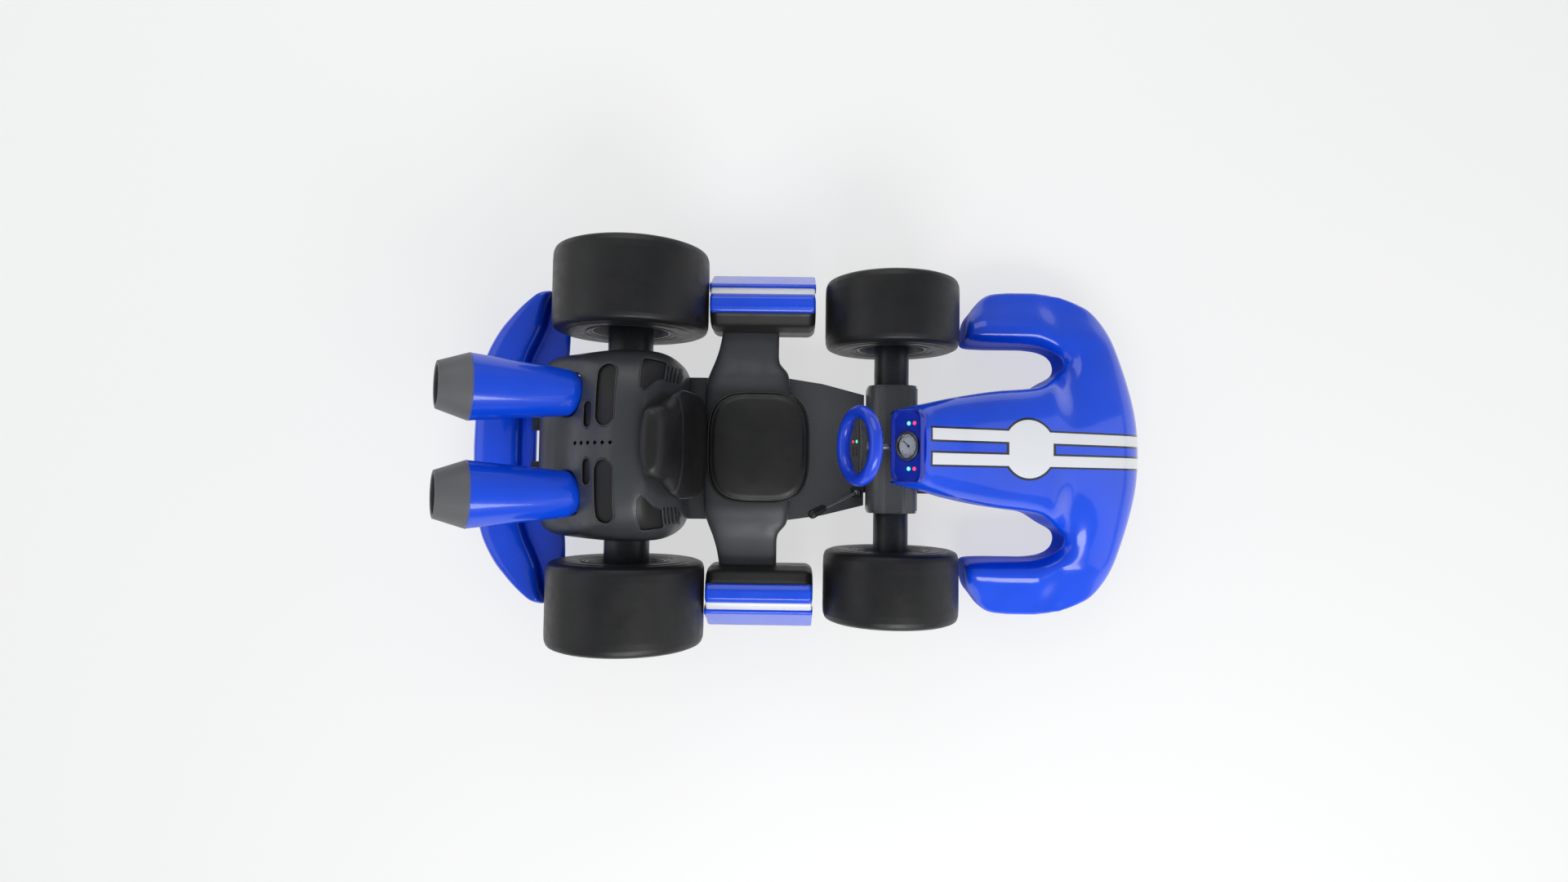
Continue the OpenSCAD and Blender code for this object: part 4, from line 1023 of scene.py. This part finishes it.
def build_seat():
    cx, hx, hy = -168, 178, 196
    prof = [(0.0, 272, -14), (0.0, 276, -4), (0.0, 290, 0), (0, 318, 0), (0, 330, -3), (0, 336, -8), (0, 338, -13)]
    rings = []
    for _, z, g in prof:
        rings.append([(cx + x, y, z) for x, y in resample(squircle(hx + g, hy + g, 3.4, 240), 160)])
    for k in (0.9, 0.75, 0.55, 0.3, 0.08):
        rings.append([(cx + x * k, y * k, 338 + 5 * (1 - k * k)) for x, y in resample(squircle(hx - 13, hy - 13, 3.4, 240), 160)])
    v, f = loft(rings)
    o = obj("seat_pad", v, f, M["seat"])
    fix_normals(o)
    voxel(o, 0.006, 3)
    cloth(o, lambda p: p[2] < 280, 4.0, 7)
    # a welt groove round the top, sunk after the sewing line
    me = o.data
    for w in me.vertices:
        x, y, z = w.co * 1000
        if z < 300:
            continue
        r = ((abs(x - cx) / (hx - 15)) ** 3.4 + (abs(y) / (hy - 15)) ** 3.4) ** (1 / 3.4)
        d = (r - 1) * 165
        w.co.z -= 0.0045 * math.exp(-(d / 4.5) ** 2)
    s = o.modifiers.new("sub", "SUBSURF")
    s.levels = s.render_levels = 1
    bake_mods(o)
    o.data.materials.clear()
    o.data.materials.append(M["seat"])
    shade(o)
    done(o, "chassis", "seat_leather", "seat_cushion")
    # piping along the edge
    path = [(cx + x, y, 331) for x, y in resample(squircle(hx - 1.5, hy - 1.5, 3.4, 400), 200)]
    v, f = tube(path, 3.4, 10, closed=True)
    p = obj("seat_piping", v, f, M["grip"])
    done(p, "chassis", "seat_leather")
    # moulded base under the pad
    rings = [[(cx + x, y, z) for x, y in resample(squircle(hx + g, hy + g, 3.4, 200), 120)] for z, g in [(270.5, -22), (270.5, -6), (274, -3), (280, -3), (283, -6), (283, -22)]]
    v, f = loft(rings)
    b = obj("seat_tray", v, f, M["black"])
    fix_normals(b)
    shade(b, True, 50)
    done(b, "chassis", "black_plastic")


build_seat()
back_half = pchip([[282, 150], [330, 168], [400, 184], [480, 189], [530, 178], [570, 150], [610, 126], [660, 118], [690, 108], [704, 88]])
back_front = pchip([[282, -352], [340, -348], [450, -379], [590, -418], [680, -444], [704, -462]])
back_rear = pchip([[282, -396], [340, -402], [450, -430], [530, -462], [590, -500], [650, -524], [690, -524], [704, -505]])


def build_back():
    rings = []
    zs = list(np.arange(273, 700, 7)) + [700, 703, 704.5]
    for z in zs:
        k = 3.0
        x0, x1, w = back_rear(z) + k, back_front(z) - k, back_half(z) - k
        ring = []
        for a in np.linspace(0, 2 * math.pi, 97)[:-1]:
            ring.append(((x0 + x1) / 2 + (x1 - x0) / 2 * spow(math.cos(a), 0.7), w * spow(math.sin(a), 0.7), z))
        rings.append(ring)
    v, f = loft(rings)
    o = obj("back_pad", v, f, M["seat"])
    fix_normals(o)
    voxel(o, 0.006, 8)
    cloth(o, lambda p: p[2] < 300 or (p[0] < back_rear(p[2]) + 14 and p[2] < 540), 4.0, 7)
    # a sewn line between the back pad and the head pad
    for w in o.data.vertices:
        x, y, z = w.co * 1000
        xc = (back_front(z) + back_rear(z)) / 2
        if x > xc:
            w.co.x -= 0.005 * math.exp(-((z - 548) / 5.0) ** 2)
    s = o.modifiers.new("sub", "SUBSURF")
    s.levels = s.render_levels = 1
    bake_mods(o)
    o.data.materials.clear()
    o.data.materials.append(M["seat"])
    shade(o)
    done(o, "chassis", "seat_leather", "backrest")


build_back()

# ------------------------------------------------------------------ tyres
def tyre_prof(R, w, rb, sh=26):
    h = w / 2
    side = [(rb, h - 12, 2), (rb + 1, h - 5, 3), (rb + 8, h - 2, 3), (rb + 14, h - 2.4, 2), (rb + 17, h - 6, 2), (rb + 24, h - 6, 2), (rb + 28, h - 2.5, 3),
            ((rb + R) / 2 - 6, h - 0.2, 30), ((rb + R) / 2 + 12, h - 0.2, 2), ((rb + R) / 2 + 14, h - 1.6, 1), (R - sh - 8, h - 1.8, 8), (R - sh, h - 2.4, 6), (R - 7, h - 10, 16), (R - 1.2, h - sh - 2, 18), (R, h - sh * 2, 60)]
    top = [(r, -y, q) for r, y, q in reversed(side)]
    inner = [(rb, -(h - 26), 3), (rb + 16, -(h - 30), 6), (R - 16, -(h - 26), 10), (R - 16, h - 26, 10), (rb + 16, h - 30, 6), (rb, h - 26, 3)]
    return fillet(side + top + inner, 5)


def y_frame(x, y, z, s=1):
    return frame_mat((x, y, z), (1, 0, 0), (0, s, 0))


turned("tyre_front_left", tyre_prof(241, 256, 125.3), [y_frame(308, 483, 241)], "front_left_wheel", "tyre", ("front_tyre_left",), n=192, mat=M["tyre"], sharp=None)
turned("tyre_front_right", tyre_prof(241, 256, 125.3), [y_frame(308, -483, 241)], "front_right_wheel", "tyre", ("front_tyre_right",), n=192, mat=M["tyre"], sharp=None)
turned("tyres_rear", tyre_prof(277, 298, 142.3), [y_frame(-633, 551, 277), y_frame(-633, -551, 277)], "rear_drive", "tyre", ("rear_tyres",), n=208, mat=M["tyre"], sharp=None)

# ------------------------------------------------------------------ steering wheel
CA = math.radians(24)
CD = (math.cos(CA), 0, -math.sin(CA))
COL = frame_mat((165, 0, 575), (-math.sin(CA), 0, -math.cos(CA)), CD)


def build_wheel():
    prof = [(108 + 22 * math.cos(t), 22 * math.sin(t)) for t in np.linspace(0, 2 * math.pi, 49)[:-1]]
    v, f = lathe_data(prof, 192)
    v = place(v, COL)
    o = obj("wheel_grip", v, f, M["rim_blue"])
    fix_normals(o)
    shade(o)
    done(o, "steering", "blue_body", "steering_rim")
    # spoke plate: a pad that narrows into two spokes
    half = [(-24, 96, 3), (-22, 60, 12), (-28, 40, 10), (-29, 22, 10), (-29, -22, 10), (-28, -40, 10), (-22, -60, 12), (-24, -96, 3),
            (22, -96, 3), (20, -60, 14), (36, -34, 10), (42, -18, 10), (42, 18, 10), (36, 34, 10), (20, 60, 14), (22, 96, 3)]
    out = resample(fillet(half, 6), 150)
    rings = []
    for z, g in [(11, 3), (13, 3), (13, 1), (11.5, 0), (-5, 0), (-7.4, 1.2), (-8.4, 3.4), (-8.8, 7)]:
        ring = []
        for i, p in enumerate(out):
            a, b = out[i - 1], out[(i + 1) % len(out)]
            t = (b - a) / np.linalg.norm(b - a)
            q = p + g * np.array([-t[1], t[0]])
            ring.append((q[0], q[1], z))
        rings.append(ring)
    v, f = loft(rings)
    o = obj("wheel_plate", place(v, COL), f, M["hub"])
    fix_normals(o)
    shade(o, True, 50)
    done(o, "steering", "grey_plastic", "steering_hub")
    # boss behind the plate
    v, f = lathe_data(fillet([(0, 12, 0), (19, 12, 2), (20, 20, 3), (16, 27, 3), (0, 27, 0)], 4), 64)
    o = obj("wheel_boss", place(v, COL), f, M["steel"])
    fix_normals(o)
    shade(o, True, 40)
    done(o, "steering", "grey_plastic")
    # two rows of small dark switches, and the rings round the two push buttons
    parts = []
    for i in range(3):
        for j in range(2):
            v, f = lathe_data([(0, -11.0), (3.0, -11.0), (3.8, -10.2), (4, -8.2), (4, -7), (0, -7)], 20)
            parts.append((place([(x + 20 - j * 20, y - 8 - i * 10, z) for x, y, z in v], COL), f))
    v, f = join_data(parts)
    o = obj("wheel_switches", v, f, M["black"])
    fix_normals(o)
    shade(o, True, 40)
    done(o, "steering", "grey_plastic")
    parts = []
    for x0 in (22, -2):
        v, f = lathe_data([(5.3, -8.5), (5.3, -9.8), (6.4, -10.2), (7.4, -9.6), (7.4, -8.5)], 32)
        parts.append((place([(x + x0, y + 13, z) for x, y, z in v], COL), f))
    v, f = join_data(parts)
    o = obj("button_rings", v, f, M["bezel"])
    fix_normals(o)
    done(o, "steering", "grey_plastic")


build_wheel()

# ------------------------------------------------------------------ dash
DA = math.radians(47.4)
DASH = frame_mat((270, 0, 545), (math.cos(DA), 0, math.sin(DA)), (-math.sin(DA), 0, math.cos(DA)))


def rounded(w, h, r, cx=0, n=200):
    r = max(2, r)
    return [(cx + p[0], p[1]) for p in resample(fillet([(-w / 2, -h / 2, r), (w / 2, -h / 2, r), (w / 2, h / 2, r), (-w / 2, h / 2, r)], 14), n)]


def build_dash():
    rings = []
    for g, z in [(2.5, -13), (0.4, -12), (0, -4), (0.6, 0), (2.4, 2.8), (5.4, 4.0), (8.6, 3.2), (11, 1.0), (13, -0.4), (16, -0.8)]:
        up = lambda x: z + (sm((x - 95) / 39) * 8 if z > 0 else 0)
        rings.append([(x, y, up(x)) for x, y in rounded(134 - 2 * g, 238 - 2 * g, 36 - g * 0.7, 67)])
    # down to the round hole that holds the gauge
    last = [(x, y) for x, y, _ in rings[-1]]
    hole = [(71 + 38.4 * math.cos(math.atan2(y, x - 71)), 38.4 * math.sin(math.atan2(y, x - 71))) for x, y in last]
    for k, z in ((0.3, -0.8), (0.6, -0.8), (0.85, -0.8), (0.98, -0.8), (1, -1.2), (1, -7), (1, -12)):
        rings.append([(lerp(a[0], b[0], k), lerp(a[1], b[1], k), z) for a, b in zip(last, hole)])
    v, f = loft(rings)
    o = obj("dash_tray", place(v, DASH), f, M["dash"])
    fix_normals(o)
    shade(o, True, 50)
    done(o, "chassis", "blue_body", "dash_panel")
    # carrier beam below the panel
    prof = rounded(30, 180, 6, 0, 80)
    rings = [[(81 + x, y, z) for x, y in prof] for z in (-26, -12)]
    v, f = loft(rings)
    o = obj("dash_beam", place(v, DASH), f, M["frame"])
    fix_normals(o)
    shade(o, True, 40)
    done(o, "chassis", "blue_body")
    # gauge: bezel, dial and marks
    g = DASH @ Matrix.Translation((71, 0, 0))
    bez = fillet([(38, -3, 0.5), (38, 8.0, 2), (40.5, 9.6, 1), (44, 9.6, 2), (46, 7.5, 2), (46.5, 0, 0.5), (46.5, -1, 0.3)], 4)
    turned("gauge_bezel", bez, [g], "chassis", "gauge_rim", ("gauge_body",), n=128, mat=M["bezel"])
    v, f = lathe_data([(0, -3.2), (36, -3.2), (37.9, -2.2), (37.9, -6), (0, -6)], 96, closed=False)
    bm = obj("gauge_dial", place(v, g), f, M["dial"])
    fix_normals(bm)
    shade(bm, True, 40)
    done(bm, "chassis", "gauge_rim")
    parts = []
    for i in range(41):
        a = math.radians(-150 + 300 * i / 40)
        L, w = (7, 0.8) if i % 5 == 0 else (3.5, 0.4)
        r0 = 33.5 - L
        for_box = [(r0, -w, -3.25), (33.5, -w, -3.25), (33.5, w, -3.25), (r0, w, -3.25), (r0, -w, -2.9), (33.5, -w, -2.9), (33.5, w, -2.9), (r0, w, -2.9)]
        ca, sa = math.cos(a), math.sin(a)
        vv = [(x * ca - y * sa, x * sa + y * ca, z) for x, y, z in for_box]
        parts.append((place(vv, g), [(3, 2, 1, 0), (4, 5, 6, 7), (0, 1, 5, 4), (1, 2, 6, 5), (2, 3, 7, 6), (3, 0, 4, 7)]))
    v, f = join_data(parts)
    o = obj("gauge_marks", v, f, M["needle"])
    fix_normals(o)
    shade(o, False)
    done(o, "chassis", "gauge_rim")


build_dash()

# ------------------------------------------------------------------ lever grip
def build_grip():
    top, tip = Vector((189 - 128, -156 - 52, 194 + 196)), Vector((189 - 168, -156 - 70, 194 + 262))
    ax = (tip - top)
    L = ax.length
    m = frame_mat(top, ax.cross(Vector((0, 1, 0))), ax)
    prof = [(5.2, -3), (9, -3), (11.5, -1), (12.5, 2)]
    for i in range(60):
        t = i / 59
        prof.append((lerp(13, 14.6, t) + 0.9 * math.cos(t * math.pi * 2 * 6), lerp(4, L - 2, t)))
    prof += [(15, L), (14.5, L + 4), (12.5, L + 7.5), (9, L + 9.6), (4, L + 10.3), (0, L + 10.4)]
    v, f = lathe_data([(0, -3)] + prof, 72)
    o = obj("lever_sleeve", place(v, m), f, M["grip"])
    fix_normals(o)
    shade(o, True, 50)
    done(o, "lever", "grip_rubber", "lever_grip")


build_grip()

# ------------------------------------------------------------------ carried CAD nodes
CARRY = {
    "frame": ["frame_rails", "cross_tubes", "front_axle_tubes", "rear_axle_tubes", "bumper_brackets", "pedal_bracket", "lever_base"],
    "carbon": ["floor_pan", "footwell_pan", "front_housing"],
    "zinc": ["floor_bolts", "kingpins", "knuckle_left", "knuckle_right", "steering_rack", "pinion_shaft", "rear_bearings", "rear_axle", "clutch_drum", "brake_disc"],
    "steel": ["steering_column", "accelerator_pedal", "brake_pedal", "hand_lever", "exhaust_manifold"],
    "grey": ["steering_gearbox"],
    "glass": ["gauge_lens"],
    "cyan": ["lamps_green"],
    # the two push buttons take the emissive lamp materials, a painted glow on parts that are no lamps
    "green": ["button_green"],
    "red": ["lamps_red", "button_red"],
    "alloy": ["engine_block", "front_rim_left", "front_rim_right", "rear_rims"],
    "tank": ["fuel_tank"],
    "caliper": ["brake_caliper"],
    "chain": ["drive_chain", "axle_sprocket"],
    "needle": ["gauge_needle"],
}
BEVELS = {"floor_pan": 1.5, "footwell_pan": 1.5, "front_housing": 1.2, "pedal_bracket": 0.8, "lever_base": 0.8, "accelerator_pedal": 1.0, "brake_pedal": 1.0,
          "steering_gearbox": 1.5, "front_rim_left": 1.0, "front_rim_right": 1.0, "rear_rims": 1.0, "engine_block": 0.8, "fuel_tank": 6, "brake_caliper": 1.5,
          "bumper_brackets": 1.5, "kingpins": 0.8, "lamps_green": 0.6, "lamps_red": 0.6, "button_red": 0.8, "button_green": 0.8, "front_axle_tubes": 1.0,
          "rear_axle_tubes": 1.5, "brake_disc": 0.5, "knuckle_left": 0.8, "knuckle_right": 0.8}
for key, names in CARRY.items():
    for name in names:
        o = NODE[name]
        o.data.materials.clear()
        o.data.materials.append(M[key])
        if name in BEVELS:
            w = o.modifiers.new("weld", "WELD")
            w.merge_threshold = 0.00001
            m = bevel(o, BEVELS[name], 2, 40)
            m.use_clamp_overlap = True
            m.miter_outer = "MITER_ARC"

# ------------------------------------------------------------------ floor, light and camera
def stage():
    me = bpy.data.meshes.new("floor")
    s = 14
    me.from_pydata([(-s, -s, 0), (s, -s, 0), (s, s, 0), (-s, s, 0)], [], [(0, 1, 2, 3)])
    fl = bpy.data.objects.new("floor", me)
    scene.collection.objects.link(fl)
    m = Mat("floor_pale")
    m.set(Base_Color=(0.36, 0.36, 0.36), Roughness=0.9, Specular_IOR_Level=0.1)
    m.b.inputs["Emission Color"].default_value = (1, 1, 1, 1)
    m.b.inputs["Emission Strength"].default_value = 0.62
    me.materials.append(m.m)

    w = bpy.data.worlds.new("studio")
    scene.world = w
    w.use_nodes = True
    w.node_tree.nodes["Background"].inputs[0].default_value = (0.92, 0.95, 1.0, 1)
    w.node_tree.nodes["Background"].inputs[1].default_value = 0.34

    def area(name, loc, aim, sx, sy, power, col=(1, 1, 1)):
        l = bpy.data.lights.new(name, "AREA")
        l.shape = "RECTANGLE"
        l.size, l.size_y = sx, sy
        l.energy = power
        l.color = col
        o = bpy.data.objects.new(name, l)
        o.location = loc
        d = Vector(aim) - Vector(loc)
        o.rotation_euler = d.to_track_quat("-Z", "Y").to_euler()
        scene.collection.objects.link(o)

    area("key", (0.9, -3.6, 3.4), (0, 0, 0.2), 3.8, 1.8, 140)
    area("fill", (-0.5, 4.2, 3.2), (0, 0, 0.2), 4.5, 3.0, 62)
    area("front", (5.6, -0.9, 2.4), (0, 0, 0.2), 6.0, 3.6, 44)
    area("back", (-5.2, 0.4, 3.2), (0, 0, 0.2), 6.0, 3.6, 48)

    cam = bpy.data.cameras.new("camera")
    cam.sensor_width = 36
    cam.lens = 986.5542 * 36 / 1920
    cam.clip_end = 100
    co = bpy.data.objects.new("camera", cam)
    tx, ty, ro = 0.0445, 0.0077, 0.0133
    rx = Matrix.Rotation(tx, 3, "X")
    ry = Matrix.Rotation(ty, 3, "Y")
    rz = Matrix.Rotation(ro, 3, "Z")
    co.matrix_world = Matrix.Translation((-0.05427, -0.10259, 3.15279)) @ (rz @ ry @ rx).to_4x4()
    scene.collection.objects.link(co)
    scene.camera = co
    scene.view_settings.view_transform = "Standard"


stage()
